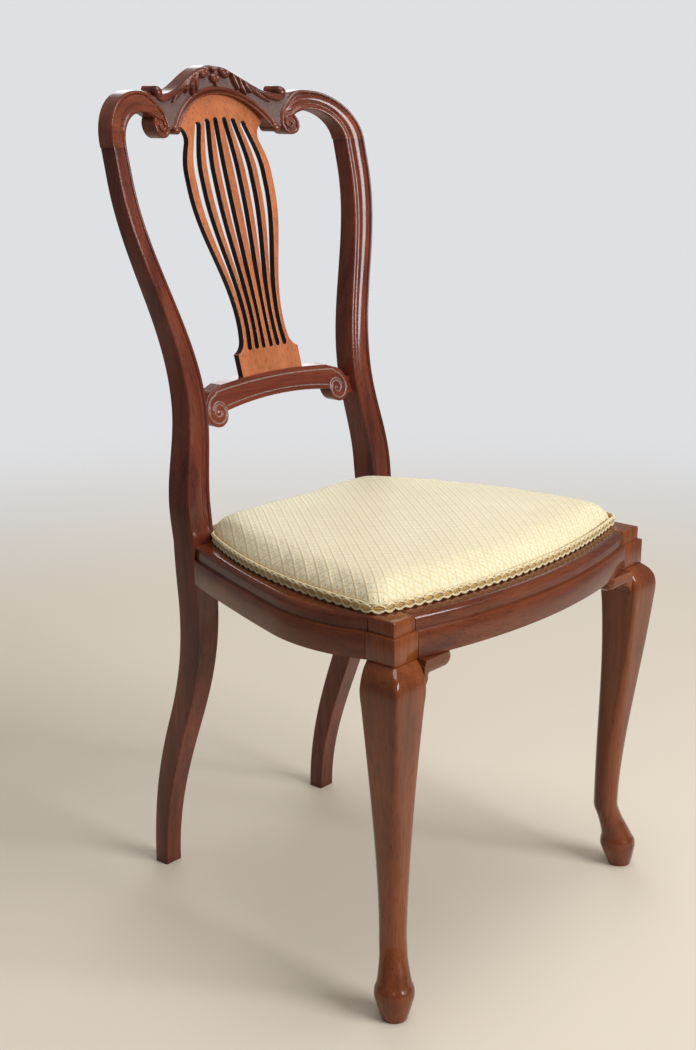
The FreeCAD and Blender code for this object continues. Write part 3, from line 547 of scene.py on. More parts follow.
def reliefPiece(name, ring, height, front, thick, step, mat, marks=None, **more):
    # right half of the panel, mirrored, with walls back to a plain rear face
    flat, faces, rim = filled(ring, step, step * 0.45)
    back, backFaces, backRim = filled(ring, 7.0, 2.5)
    verts = np.stack([flat[:, 0], front(*flat.T) - height(flat), flat[:, 1]], 1)
    rear = np.stack([back[:, 0], front(*back.T) + thick, back[:, 1]], 1)
    base = len(verts)
    faces = [*faces, *(backFaces[:, ::-1] + base)]
    verts = np.concatenate([verts, rear])
    levels = [rim]
    for share in (0.06, 0.2, 0.5, 0.8, 0.94):
        levels.append(len(verts) + np.arange(len(ring)))
        verts = np.concatenate([verts, verts[rim] * (1 - share) + rear[backRim] * share])
    levels.append(base + backRim)
    for i, j in zip(range(len(ring)), np.roll(np.arange(len(ring)), -1)):
        if max(abs(ring[i][0]), abs(ring[j][0])) > 1e-6:
            faces += [(a[i], b[i], b[j], a[j]) for a, b in zip(levels, levels[1:])]
    verts, faces = joined([(verts, faces), mirrorX(verts, faces)])
    verts, where = np.unique(np.round(verts, 4), axis=0, return_inverse=True)
    where = where.ravel()
    faces = [tuple(int(where[i]) for i in f) for f in faces]
    faces = [f for f in faces if len(set(f)) == len(f)]
    obj = meshPiece(name, toFrame(verts), faces, mat, angle=48, tidy=True, **more)
    if marks:
        co = places(obj.data) / mm
        p = np.stack([np.abs(co[:, 0]), co[:, 2]], 1)
        depth = co[:, 1] - chair["shiftY"] - front(*p.T)
        layer = obj.data.attributes.new("ground", "FLOAT", "POINT")
        layer.data.foreach_set("value", marks(p, depth).astype(np.float32))


def withSeam(ring, low, high, count):
    # the outline closed along the middle of the chair
    seam = np.stack([np.zeros(count), np.linspace(low, high, count + 2)[1:-1]], 1)
    return np.concatenate([ring, seam])


def freeEdge(ring):
    return ring[ring[:, 0] > 0.01]


# crest rail: moulded shoulders that run into volutes, carved cresting over the arch
crest = {
    "thick": 22.5, "top": 935.5, "wave": 31.0, "waveHalf": 90.0,
    "shoulderX": 133.3, "reach": 67.0, "rise": 58.0, "innerReach": 41.0, "innerRise": 34.8,
    "voluteX": 102.5, "voluteZ": 870.0, "volute": 13.0, "voluteFace": 2.6, "voluteBead": 10.9,
    "archHalf": 74.0, "archCrown": 904.0, "archRadius": 91.05, "archFoot": 866.0,
    "archBead": 5.5, "archBand": 8.0,
    "ballX": 97.5, "ballZ": 906.5, "ball": 6.5, "ballTop": 3.4, "footBallTop": 2.8,
    "ground": 3.0, "step": 0.62, "softTop": 3.2, "arris": 0.7,
    "spiral": ((450, 8.7), (540, 5.8), (630, 4.3), (720, 3.1), (800, 1.5)),      # angle, radius
    "beadDown": [(122.5, 905.0), (114.5, 901.6), (106.2, 894.8), (99.4, 888.6), (94.4, 882.4)],
    "beadIn": [(124, 886.9), (116.5, 884.8), (110.5, 881.6), (106.2, 879.6)],
    "strand": ((840, 863, 868, 877.9, 884, 890, 896.2, 901, 905, 940),     # height, shoulder's inner edge
               (88.5, 89.9, 89.4, 90.0, 93.2, 98.0, 104.3, 109, 111.5, 111.5)),
    "leaves": [   # middle line, half widths, height of the crown
        (((16, 931), (34, 925), (52, 914), (70, 906), (88, 904)), (1.5, 3.6, 4.2, 4.0, 4.4), 1.6),
        (((46, 914), (58, 908.0), (67, 901.8), (77.5, 894.6)), (1.4, 3.8, 3.4, 0.3), 1.2),
        (((58, 912), (70, 905.5), (82, 901.4), (93, 899.6), (100, 903)), (1.0, 3.0, 4.2, 4.4, 3.4), 2.2),
        (((26.5, 927.0), (30.4, 919), (32.8, 910.2)), (1.4, 4.3, 2.6), 3.2),
        (((35.6, 922.0), (38.0, 914.5), (42.0, 903.6)), (1.6, 4.7, 1.4), 3.6),
        (((42.5, 919.5), (46.4, 913.0), (51.0, 906.0)), (1.4, 4.4, 1.6), 3.0),
        (((0, 919.0), (0, 911.2)), (3.0, 0.7), 1.8),
    ],
    "petals": [   # x, z, half width, half height, tilt, height
        (0, 921.6, 8.0, 6.0, 0, 4.8), (16.6, 927.6, 8.4, 6.6, -24, 5.0), (0, 931.0, 4.6, 3.4, 0, 3.6),
    ],
}


def onVolute(angle, radius=crest["volute"]):
    q = math.radians(angle)
    return (crest["voluteX"] + radius * math.cos(q), crest["voluteZ"] + radius * math.sin(q))


def crestRing():
    c = crest
    x = np.linspace(0, c["waveHalf"], 60)
    wave = np.stack([x, c["top"] - c["wave"] + ease(c["wave"], 0, x / c["waveHalf"])], 1)
    ball = ellipse(c["ballX"], c["ballZ"], c["ball"], c["ball"], 197, -40, 26)
    outer = ellipse(c["shoulderX"], jointZ, c["reach"], c["rise"], 90, 0, 90)
    inner = ellipse(c["shoulderX"], jointZ, c["innerReach"], c["innerRise"], 0, 90, 60)
    dip = (c["voluteX"] + 1.2, jointZ + c["rise"] - c["volute"] / 2 + 0.6)
    crotch = onVolute(45)
    foot, bead, half = c["archFoot"], c["archBead"], c["archHalf"]
    parts = [wave, ball, arc3(dip, (dip[0] + c["volute"], outer[0][1] - 1.5), outer[0], 20), outer, inner,
             arc3(inner[-1], (crotch[0] + c["volute"] * 0.8, inner[-1][1] - 1.2), crotch, 16),
             arc3(crotch, onVolute(-60), onVolute(195), 50), [onVolute(195)],
             arc3((half + 2 * bead, foot), (half + bead, foot - bead), (half, foot), 20),
             archLine(np.linspace(half, 0, 70), c["archCrown"], c["archRadius"])]
    ring = evenly(np.concatenate([np.asarray(p, float) for p in parts]), 0.7)
    return withSeam(ring, c["archCrown"], c["top"], 30)


def crestLines():
    # middle lines of the outer bead, which wraps the volute, and of the inner bead, which winds to its eye
    c = crest
    hw = stileMoulding["outerBead"] / 2
    outer = ellipse(c["shoulderX"], jointZ, c["reach"] - hw, c["rise"] - hw, -3, 90, 140)
    down = swung([outer[-1], *c["beadDown"], onVolute(165, 11.0)])
    wrap = ellipse(c["voluteX"], c["voluteZ"], c["voluteBead"], c["voluteBead"], 168, 402, 90)
    hw = stileMoulding["innerBead"] / 2
    inner = ellipse(c["shoulderX"], jointZ, c["innerReach"] + hw, c["innerRise"] + hw, -3, 90, 100)
    across = swung([inner[-1], *c["beadIn"], onVolute(*c["spiral"][0])])
    q = np.linspace(c["spiral"][0][0], c["spiral"][-1][0], 120)
    eye = around(c["voluteX"], c["voluteZ"], np.interp(q, *zip(*c["spiral"])), q)
    return evenly(np.concatenate([outer, down, wrap]), 0.4), evenly(np.concatenate([inner, across, eye]), 0.4)


outerLine, innerLine = crestLines()
crestEdge = crestRing()


def shoulderCut(p):
    s, c = stileMoulding, crest
    toOut, shareOut = nearest(p, outerLine)
    toIn, shareIn = nearest(p, innerLine)
    hwOut = np.interp(shareOut, (0, 0.55, 0.75, 1), (s["outerBead"] / 2, s["outerBead"] / 2, 2.1, 1.9))
    hwIn = np.interp(shareIn, (0, 0.6, 0.72, 1), (s["innerBead"] / 2, s["innerBead"] / 2, 1.5, 1.2))
    a, b = toOut - hwOut, toIn - hwIn
    band = -s["sink"] + swell(np.clip(a / np.maximum(a + b, 0.1), 0, 1)) - grooveCut(b + 2 * hwIn)
    past = (awayFrom(p, c["voluteX"], c["voluteZ"]) - c["volute"] + 1) / 7
    low = ease(-c["voluteFace"], 0, past) + ease(0, 1, past) * band
    cut = low
    for d, half in ((toOut, hwOut), (toIn, hwIn)):
        cut = np.maximum(cut, np.where(d < half, low - low * dome(d / half) ** 0.8, low))
    return cut


def stroke(p, line, widths, top, low):
    d, share = nearest(p, swung(line))
    w = np.interp(share, np.linspace(0, 1, len(widths)), widths)
    return np.where(d < w, low + (top - low) * dome(d / np.maximum(w, 0.01)), -99)


def overArch(p):
    return awayFrom(p, 0, crest["archCrown"] - crest["archRadius"]) - crest["archRadius"]


def onShoulder(p):
    return p[:, 0] > np.interp(p[:, 1], *crest["strand"])


def carvedCut(p):
    c = crest
    low = -c["ground"]
    u = overArch(p)
    cove = -0.2 - 1.9 * np.sin(np.pi * np.clip((u - 1.2) / 3.0, 0, 1))
    bead = -1.1 + 2.3 * dome((u - 6.1) / 1.95)
    h = np.where(u < c["archBand"], np.where(u < 4.2, cove, bead), low)
    for line, widths, top in c["leaves"]:
        h = np.maximum(h, stroke(p, line, widths, top, low))
    vein, share = nearest(p, swung(c["leaves"][0][0]))
    fade = np.clip(share * 4, 0, 1) * np.clip((0.9 - share) * 5, 0, 1)
    h = np.where(h > low + 0.8, h - 0.7 * np.exp(-(vein / 0.8) ** 2) * fade, h)
    for cx, cz, rx, rz, tilt, top in c["petals"]:
        cos, sin = math.cos(math.radians(tilt)), math.sin(math.radians(tilt))
        dx, dz = p[:, 0] - cx, p[:, 1] - cz
        e = np.hypot((dx * cos + dz * sin) / rx, (dz * cos - dx * sin) / rz)
        cup = top - 1.5 * np.exp(-((e - 0.1) / 0.28) ** 2) * (rx > 5)
        h = np.where(e < 1, np.maximum(h, low + (cup - low) * dome(e)), h)
    for cx, cz, r, top in ((c["ballX"], c["ballZ"], c["ball"], c["ballTop"]),
                           (c["archHalf"] + c["archBead"], c["archFoot"], c["archBead"], c["footBallTop"])):
        e = awayFrom(p, cx, cz) / r
        h = np.where(e < 1.0, np.maximum(-1.6 + (top + 1.6) * dome(e), np.where(e < 0.9, -99, h)), h)
    return h


def crestHeight(p):
    c = crest
    shoulder = onShoulder(p)
    h = np.zeros(len(p))
    h[shoulder] = shoulderCut(p[shoulder])
    h[~shoulder] = carvedCut(p[~shoulder])
    cresting = ~shoulder & (p[:, 1] > c["archFoot"] + 15) & (overArch(p) > c["archBand"] + 1)
    r = np.where(p[:, 1] < jointZ + 1.0, 0.0001, np.where(cresting, c["softTop"], c["arris"]))
    return h - roundOver(nearest(p, freeEdge(crestEdge))[0], r)


def groundMark(p, depth):
    return ((carvedCut(p) < -crest["ground"] + 0.35) & ~onShoulder(p) & (depth < 6)).astype(float)


reliefPiece("crestRail", crestEdge, crestHeight, crestFront, crest["thick"], crest["step"], wood["carved"],
            groundMark, replaces=["crest_rail"], slot="mahogany_frame")
print("crest rail carved")

# cross rail: arched, with an incised line along each edge and a volute at each end
cross = {
    "top": 593.5, "topRadius": 940.0, "low": 567.4, "lowRadius": 550.0, "thick": 17.5, "arris": 1.3,
    "voluteX": 99.4, "voluteZ": 561.4, "small": 13.0, "growth": 11.5, "setBack": 9.4, "rake": 0.275,
    "stub": 10.0, "line": 5.4, "step": 0.6, "eye": (0.9, 2.2),
    "groove": ((82, 18.0), (0, 15.4), (-90, 12.2), (-180, 9.6), (-270, 7.9), (-360, 6.6), (-450, 4.8),
               (-560, 2.6)),      # angle, radius of the spiral line
}


def crossFront(x, z):
    c = cross
    return postFront(c["voluteZ"]) + c["setBack"] + c["rake"] * (np.asarray(z, float) - c["voluteZ"])


def crossRing():
    c = cross
    top = archLine(np.linspace(0, c["voluteX"] - c["growth"], 60), c["top"], c["topRadius"])
    low = archLine(np.linspace(c["voluteX"] - c["small"], 0, 60), c["low"], c["lowRadius"])
    q = np.linspace(82, -180, 90)
    turn = around(c["voluteX"], c["voluteZ"], c["small"] + c["growth"] * (q + 180) / 290, q)
    high, deep = c["voluteZ"] + c["stub"], c["voluteZ"] - c["stub"]
    over = (turn[:, 1] > high) & (q > 0)
    under = (turn[:, 1] < deep) | (q < -90)
    stub = [(float(postPlan(z)[1]) + 0.4, z) for z in (high, c["voluteZ"], deep)]
    ring = evenly(np.concatenate([top, turn[over], stub, turn[under], low]), 0.8)
    return withSeam(ring, c["low"], c["top"], 28)


def crossLines():
    # incised lines: path, depth, half width
    c = cross
    q = np.linspace(c["groove"][0][0], c["groove"][-1][0], 200)
    angles, radii = zip(*c["groove"][::-1])
    spiral = around(c["voluteX"], c["voluteZ"], np.interp(q, angles, radii), q)
    top = archLine(np.linspace(0, c["voluteX"] - 2, 80), c["top"] - c["line"], c["topRadius"])
    low = archLine(np.linspace(0, c["voluteX"] - c["small"] - 2, 80), c["low"] + c["line"], c["lowRadius"])
    lap = around(c["voluteX"], c["voluteZ"], np.linspace(c["small"] - 0.3, 9.5, 60), np.linspace(180, 20, 60))
    return ((evenly(np.concatenate([top, spiral]), 0.5), 1.2, 0.7), (evenly(low, 0.5), 1.0, 0.6),
            (evenly(lap, 0.5), 1.2, 0.7))


crossEdge = crossRing()


def crossCut(p):
    h = np.zeros(len(p))
    for line, deep, wide in crossLines():
        h = h - deep * np.exp(-(nearest(p, line)[0] / wide) ** 2)
    high, wide = cross["eye"]
    return h + high * np.exp(-(awayFrom(p, cross["voluteX"], cross["voluteZ"]) / wide) ** 2)


def crossHeight(p):
    return crossCut(p) - roundOver(nearest(p, freeEdge(crossEdge))[0], cross["arris"])


def waxMark(p, depth):
    # old pale wax held in the incised lines
    return np.clip((-crossCut(p) - 0.4) / 0.4, 0, 1) * (depth < 3)


reliefPiece("crossRail", crossEdge, crossHeight, crossFront, cross["thick"], cross["step"], wood["cross"],
            waxMark, replaces=["cross_rail"], slot="mahogany_frame")
print("cross rail made")

# front legs: square block, knee, cabriole sweep, round foot
legCurve = {
    "knee": 45.5, "kneeDrop": 27.0, "kneeSpread": 8.7, "ankleZ": 80.0, "ankle": 28.2, "ankleShift": 4.5,
    "power": 1.5, "soft": 4.0, "footOut": 9.6, "footForward": 14.3,
    "foot": ((0, 26.4, 1), (8, 31.9, 0.96), (20, 39.0, 0.88), (26, 41.5, 0.85),      # height, diameter,
             (31, 40.9, 0.83), (38, 36.0, 0.76), (50, 31.8, 0.55), (64, 28.6, 0.26)),  # share of the throw
    "neck": ((17, 8.2, 46.6, 4.4), (8, 5.6, 43.4, 5.0), (2.5, 2.2, 39.2, 5.0),      # below the rail, out,
             (0, 0.5, 36.0, 3.0)),                                                    # size, rounding
}


def roundedSquare(x, y, z, size, radius, steps=6):
    half = size / 2
    radius = min(radius, half * 0.97)
    corners = ((1, 1), (-1, 1), (-1, -1), (1, -1))

    def onCorner(k, degrees):
        cx, cy = corners[k % 4]
        q, flat = math.radians(degrees), half - radius
        return (x + cx * flat + radius * math.cos(q), y + cy * flat + radius * math.sin(q), z)

    ring = []
    for k in range(4):
        ring += [onCorner(k, 90 * k + t) for t in np.linspace(0, 90, steps)]
        last, target = ring[-1], onCorner(k + 1, 90 * k + 90)     # two points keep each flat crisp
        ring += [tuple(a + (b - a) * t for a, b in zip(last, target)) for t in (0.33, 0.66)]
    return np.array(ring)


def legRings():
    g = legCurve
    midX, midY = frontHalf - block / 2, frontY + block / 2
    kneeZ = railLow - g["kneeDrop"]

    def cabriole(z):
        share = (z - g["ankleZ"]) / (kneeZ - g["ankleZ"])
        thin = g["ankle"] / math.sqrt(2)
        radius = float(ease(g["ankle"] / 2, g["soft"], share))
        size = thin + (g["knee"] - thin) * max(share, 0) ** g["power"] + radius * (2 - math.sqrt(2))
        drift = float(ease(-g["ankleShift"], g["kneeSpread"], share))
        return (z, midX + drift, midY - float(ease(0, g["kneeSpread"], share)), size, radius)

    keys = [(z, midX + g["footOut"] * share - g["ankleShift"] * (1 - share), midY - g["footForward"] * share,
             width, width / 2) for z, width, share in g["foot"]]
    keys += [cabriole(z) for z in (g["ankleZ"], *np.linspace(100, kneeZ, 14))]
    keys += [(railLow - down, midX + out, midY - out, size, radius) for down, out, size, radius in g["neck"]]
    keys = np.array(keys)
    z = keys[:, 0]
    fine = np.concatenate([np.linspace(z[i], z[i + 1], 5)[:-1] for i in range(len(z) - 1)] + [[z[-1]]])
    x, y, size, radius = [smoothThrough(z, keys[:, column], fine) for column in range(1, 5)]
    return [roundedSquare(x[i], y[i], fine[i], size[i], radius[i]) for i in range(len(fine))]


def blockMesh(x0, x1, y0, y1, levels, radius):
    return skin([roundedSquare((x0 + x1) / 2, (y0 + y1) / 2, z, x1 - x0 - 2 * inset, radius, 4)
                 for z, inset in levels])


def legMesh():
    x0, y1 = frontHalf - block, frontY + block
    low, step, top, s = railLow, chair["stepZ"], seatZ, chair["stepIn"]
    lower = [(low, 1.0), (low + 0.4, 0.4), (low + 1.2, 0), (step - 0.9, 0), (step - 0.3, 0.3), (step, 0.9)]
    upper = [(step - 0.5, 0), (top - 1.8, 0), (top - 0.8, 0.3), (top - 0.2, 0.9), (top, 1.8)]
    return joined([skin(legRings()), blockMesh(x0, frontHalf, frontY, y1, lower, 0.9),
                   blockMesh(x0, frontHalf - s, frontY + s, y1, upper, 1.4)])


bothSides("frontLeg", *legMesh(), wood["leg"], "front_leg", slot="mahogany_legs", angle=42)
print("front legs made")

# lyre splat: thin board with three string slots on each side, its outer and slot walls nearly black as
# painted shade
splat = {
    "thick": 8.3, "lowBack": 3.4, "highBack": 5.8, "arris": 0.5,
    "lyre": [(593.5, 42.0), (650, 35.0), (800, 66.4), (815, 66.4), (900, 40.0)],
    "base": 49.3, "baseTop": 617.0, "flare": 15.0,
    "fan": 66.0, "fanZ": 869.7, "fanFlare": 19.0, "neckZ": 850.7,
    "slots": ((0.082, 0.237), (0.36, 0.54), (0.66, 0.85)), "slotLow": 620.0, "slotDrop": 25.5, "neck": 40.0,
}


def splatFront(z):
    low = float(crossFront(0, cross["top"])) + splat["lowBack"]
    high = float(crestFront(0, crest["archCrown"])) + splat["highBack"]
    return low + (high - low) * (np.asarray(z, float) - cross["top"]) / (crest["archCrown"] - cross["top"])


def splatRing():
    s = splat
    z = np.linspace(s["baseTop"] + s["flare"], s["neckZ"], 90)
    half = chain(s["lyre"], z)
    side = np.stack([half, z], 1)
    foot = archLine(np.linspace(-s["base"], s["base"], 20), cross["top"], cross["topRadius"]) - (0, 0.4)
    lowMid = (half[0] + (s["base"] - half[0]) * 0.3, s["baseTop"] + s["flare"] * 0.4)
    low = arc3((s["base"], s["baseTop"]), lowMid, side[0], 12)
    highMid = (half[-1] + (s["fan"] - half[-1]) * 0.2, s["fanZ"] - s["fanFlare"] * 0.3)
    high = arc3(side[-1], highMid, (s["fan"], s["fanZ"]), 12)
    arch = archLine(np.linspace(s["fan"], -s["fan"], 60), crest["archCrown"] + 3, crest["archRadius"] + 3)
    right = np.concatenate([low, side, high[1:], [(s["fan"], s["fanZ"])]])
    return np.concatenate([foot, right, arch, right[::-1] * (-1, 1)])


def slotRing(near, far):
    s = splat
    middle = (near + far) / 2
    rise = math.sqrt(crest["archRadius"] ** 2 - (middle * s["neck"]) ** 2)
    low, high = s["slotLow"], crest["archCrown"] - crest["archRadius"] - s["slotDrop"] + rise
    atLow, atHigh = [float(chain(s["lyre"], z)) for z in (low, high)]
    z = np.linspace(low + atLow * (far - near) / 2, high - atHigh * (far - near) / 2, 70)
    half = chain(s["lyre"], z)
    up = np.stack([half * near, z], 1)
    down = np.stack([half * far, z], 1)[::-1]
    over = arc3(up[-1], (middle * atHigh, high), down[0], 10)[1:]
    under = arc3(down[-1], (middle * atLow, low), up[0], 10)[1:]
    return np.concatenate([up, over, down, under])


def bevelled(obj, width, segments, angle):
    arris = obj.modifiers.new("arris", "BEVEL")
    arris.width = width * mm
    arris.segments = segments
    arris.limit_method = "ANGLE"
    arris.angle_limit = math.radians(angle)
    return arris


def makeSplat():
    rings = [splatRing()]
    for near, far in splat["slots"]:
        rings += [slotRing(near, far), slotRing(near, far)[::-1] * (-1, 1)]
    edges, start = [], 0
    for ring in rings:
        edges += [(start + i, start + (i + 1) % len(ring)) for i in range(len(ring))]
        start += len(ring)
    p, faces, place = triangulated(np.concatenate(rings), edges)
    middle = p[faces].mean(1)
    keep = ~np.any([inside(middle, r) for r in rings[1:]], axis=0) & inside(middle, rings[0])
    faces = [tuple(int(i) for i in f) for f in faces[keep]]
    verts = np.stack([p[:, 0], splatFront(p[:, 1]), p[:, 1]], 1)
    n = len(verts)
    verts = np.concatenate([verts, verts + (0, splat["thick"], 0)])
    faces += [tuple(i + n for i in reversed(f)) for f in faces]
    faces += [(place[a], place[b], place[b] + n, place[a] + n) for a, b in edges]
    obj = meshPiece("lyreSplat", toFrame(verts), faces, wood["splat"], replaces=["lyre_splat"],
                    slot="mahogany_splat", smooth=False, tidy=True)
    # the walls of the board and its slots take the nearly black finish: painted shade
    obj.data.materials.append(wood["paintedShadeEdge"])
    for face in obj.data.polygons:
        face.material_index = int(abs(face.normal.y) < 0.5)
    bevelled(obj, splat["arris"], 2, 60).material = 0


makeSplat()
print("lyre splat made")

# seat rails: plain lower part, and a rounded upper moulding set back above the step
rails = {
    "bow": 27.0, "mid": 42.0, "side": 32.0, "round": 6.5, "roundUp": 6.0, "gap": 0.1,
    "swell": ((0, 0), (0.205, 24.0), (0.42, 27.0), (0.715, 15.0), (1, 0)),
}


def railSection(inner, back):
    # (in from the outer face, height) up to the flat top, then (place, height) down the inner face
    low, step, top, s = railLow, chair["stepZ"], seatZ, chair["stepIn"]
    a, b = rails["round"], rails["roundUp"]
    face = [(1.1, low), (0.4, low + 0.3), (0.0, low + 1.1), (0.0, step - 1.0), (0.3, step - 0.3), (1.0, step),
            (s - 0.5, step), (s, step + 0.5)]
    for q in np.radians(np.linspace(0, 90, 9)):
        face.append((s + a * (1 - math.cos(q)), top - b + b * math.sin(q)))
    return face, [(inner + back, top), (inner, top - 1), (inner, low + 1), (inner + back, low)]


def frontRailMesh():
    half = frontHalf - block - rails["gap"]
    x = np.linspace(-half, half, 81)

    def arcY(y, rise):
        r = (half ** 2 + rise ** 2) / (2 * rise)
        return y - rise + r - np.sqrt(r * r - x ** 2)

    outer, inner = arcY(frontY, rails["bow"]), arcY(frontY + block, rails["bow"] + block - rails["mid"])
    rings = []
    for i in range(len(x)):
        face, back = railSection(inner[i], -1)
        rings.append([(x[i], outer[i] + d, z) for d, z in face] + [(x[i], y, z) for y, z in back])
    return skin(rings)


def sideRailMesh():
    start, stop = frontY + block + rails["gap"], -rails["gap"]
    rear = float(postPlan(seatZ)[0])
    p = [(frontHalf + (rear - frontHalf) * s + out, start + (stop - start) * s) for s, out in rails["swell"]]
    rings = []
    for x, y in evenly(np.array(arc3(*p[:3], 40) + arc3(*p[2:], 40) + [p[4]]), 4.0):
        face, back = railSection(x - rails["side"], 1)
        rings.append([(x - d, y, z) for d, z in face] + [(x2, y, z) for x2, z in back])
    return skin(rings)


meshPiece("frontRail", *frontRailMesh(), wood["railAcross"], replaces=["front_rail"], slot="mahogany_frame",
          angle=40, tidy=True)
bothSides("sideRail", *sideRailMesh(), wood["railBack"], "side_rail", slot="mahogany_frame", angle=40,
          tidy=True)

# knee brackets: full round ears that curl under the front rail
ear = {
    "length": 42.0, "height": 17.0, "thick": 24.0, "toe": 12.0, "nose": 8.0, "proud": 4.0, "full": 9.0,
    "tip": 2.0, "step": 0.9,
}
blockIn = frontHalf - block


def earRing():
    g, nose, toeLong = legCurve, ear["nose"], ear["toe"]
    mid = frontHalf - block / 2
    top = railLow - 0.1
    low = top - ear["height"]
    toe = low - toeLong
    neckZ, kneeZ = railLow - g["kneeDrop"] * 0.25, railLow - g["kneeDrop"]
    kneeX = mid + g["kneeSpread"] - g["knee"] / 2 - g["soft"] * 0.3
    neckX = mid + g["kneeSpread"] * 0.55 - (block + g["knee"]) / 4
    sideX = kneeX + (neckX - kneeX) * (toe - kneeZ) / (neckZ - kneeZ) if toe > kneeZ else kneeX
    end = blockIn - ear["length"]
    tip = (sideX - ear["tip"], toe)
    turn = tip[0] - toeLong
    ring = [(blockIn, top)] + arc3((end, top), (end + nose * 0.1, low + nose * 0.45), (end + nose, low), 10)
    ring += [(end + nose, low)] + arc3((turn, low), (turn + toeLong * 0.7, low - toeLong * 0.3), tip, 10)
    return evenly(ring + [tip, (sideX, toe), (neckX, neckZ), (blockIn, top)], ear["step"])[:-1]


earEdge = earRing()
earFace = frontY - rails["bow"] * (1 - ((blockIn - ear["length"] / 2) / blockIn) ** 2) - ear["proud"]


def earHeight(p):
    free = earEdge[(earEdge[:, 1] < railLow - 0.6) & (earEdge[:, 0] < blockIn - 8)]
    return -roundOver(nearest(p, free)[0], ear["full"])


reliefPiece("kneeBrackets", earEdge, earHeight, lambda x, z: earFace + 0 * x, ear["thick"], ear["step"],
            wood["bracket"], replaces=["knee_bracket_left", "knee_bracket_right"], slot="mahogany_legs")
print("rails and brackets made")


# hidden parts of the frame keep the shape of their solids
def dress(name, mat, width):
    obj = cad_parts[name]
    obj.data.materials.clear()
    obj.data.materials.append(mat)
    obj.modifiers.new("weld", "WELD").merge_threshold = 0.00001
    bevelled(obj, width, 3, 40).harden_normals = True
    smoothed(obj.data)


dress("rear_rail", wood["railAcross"], 0.6)
for word in ("front_left", "front_right", "rear_left", "rear_right"):
    dress("corner_block_" + word, wood["block"], 0.5)

# seat: damask over stuffing
seatPad = {
    "frontHalf": 212.0, "frontBack": 33.0, "frontBow": 32.0, "sideBow": 27.0, "rearHalf": 130.0,
    "rearY": 18.0, "corner": 17.0, "crown": 32.0, "wall": 12.0, "postGap": 1.0, "inset": 1.5, "lift": 0.4,
    "profile": ((1.0, 0.0), (0.992, 0.20), (0.972, 0.38), (0.93, 0.55), (0.86, 0.70), (0.76, 0.815),
                (0.62, 0.905), (0.45, 0.962), (0.25, 0.992), (0.08, 1.0)),   # share of the plan, of the rise
    "voxel": 0.005,            # metres
    "pressure": 4.0, "stretch": 22, "bend": 1.2, "frames": 20, "cap": 5.0,
    "nailed": (6, 12),         # held up to this height, free after this length more
}


def padOutline(inset):
    g = seatPad
    fx, fy = g["frontHalf"] - inset, frontY + g["frontBack"] + inset
    rx, ry = g["rearHalf"] - inset, g["rearY"] - inset
    c, bulge = g["corner"], g["frontBow"]
    drop = bulge * (1 - ((fx - c) / fx) ** 2)
    rise = g["sideBow"] * 4 * c / (ry - fy)
    slope = (fx - rx) / (ry - fy)
    a = (fx - c, fy - drop)
    b = (fx - slope * c + rise, fy + c)
    d = (rx + slope * c / 2 + rise / 2, ry - c / 2)
    e = (rx - c / 2, ry)
    half = (arc3((0, fy - bulge), (a[0] / 2, fy - bulge * 0.75 - drop * 0.25), a, 40)
            + arc3(a, (fx - c * 0.16, fy + c * 0.02), b, 8)
            + arc3(b, ((fx + rx) / 2 + g["sideBow"], (fy + ry) / 2), d, 60)
            + arc3(d, (rx + (rise - c * 0.3) / 4, ry - c * 0.12), e, 5)
            + arc3(e, (e[0] / 2, ry), (0, ry), 26) + [(0, ry)])
    return np.array(half + [(-x, y) for x, y in reversed(half[1:-1])])


def notch(points):
    # the pad is cut back round the two posts
    p = np.array(points)
    edge = float(postPlan(seatZ)[1]) - seatPad["postGap"]
    over = (p[:, 1] > -1.0) & (np.abs(p[:, 0]) > edge)
    p[over, 0] = np.sign(p[over, 0]) * edge
    return p


def padRing(inset):
    return notch(padOutline(inset))


def seatMesh():
    g = seatPad
    ring = padOutline(g["inset"])
    middle = (frontY + g["rearY"] - g["inset"]) / 2
    rise = g["crown"] - g["wall"] - g["inset"]
    levels = [(1.0, seatZ + g["lift"] + up) for up in (0, 4, 8)]
    levels += [(scale, seatZ + g["wall"] + rise * share) for scale, share in g["profile"]]
    rings = []
    for scale, z in levels:
        p = notch(np.column_stack([ring[:, 0] * scale, middle + (ring[:, 1] - middle) * scale]))
        rings.append(np.column_stack([p, np.full(len(p), z)]))
    return skin(rings)


seatCloth = {   # metres
    "across": 0.0125, "along": 0.0155, "line": 0.09,
    "ground": (0.87, 0.80, 0.58), "shade": (0.81, 0.73, 0.50), "gold": (0.66, 0.48, 0.20),
}


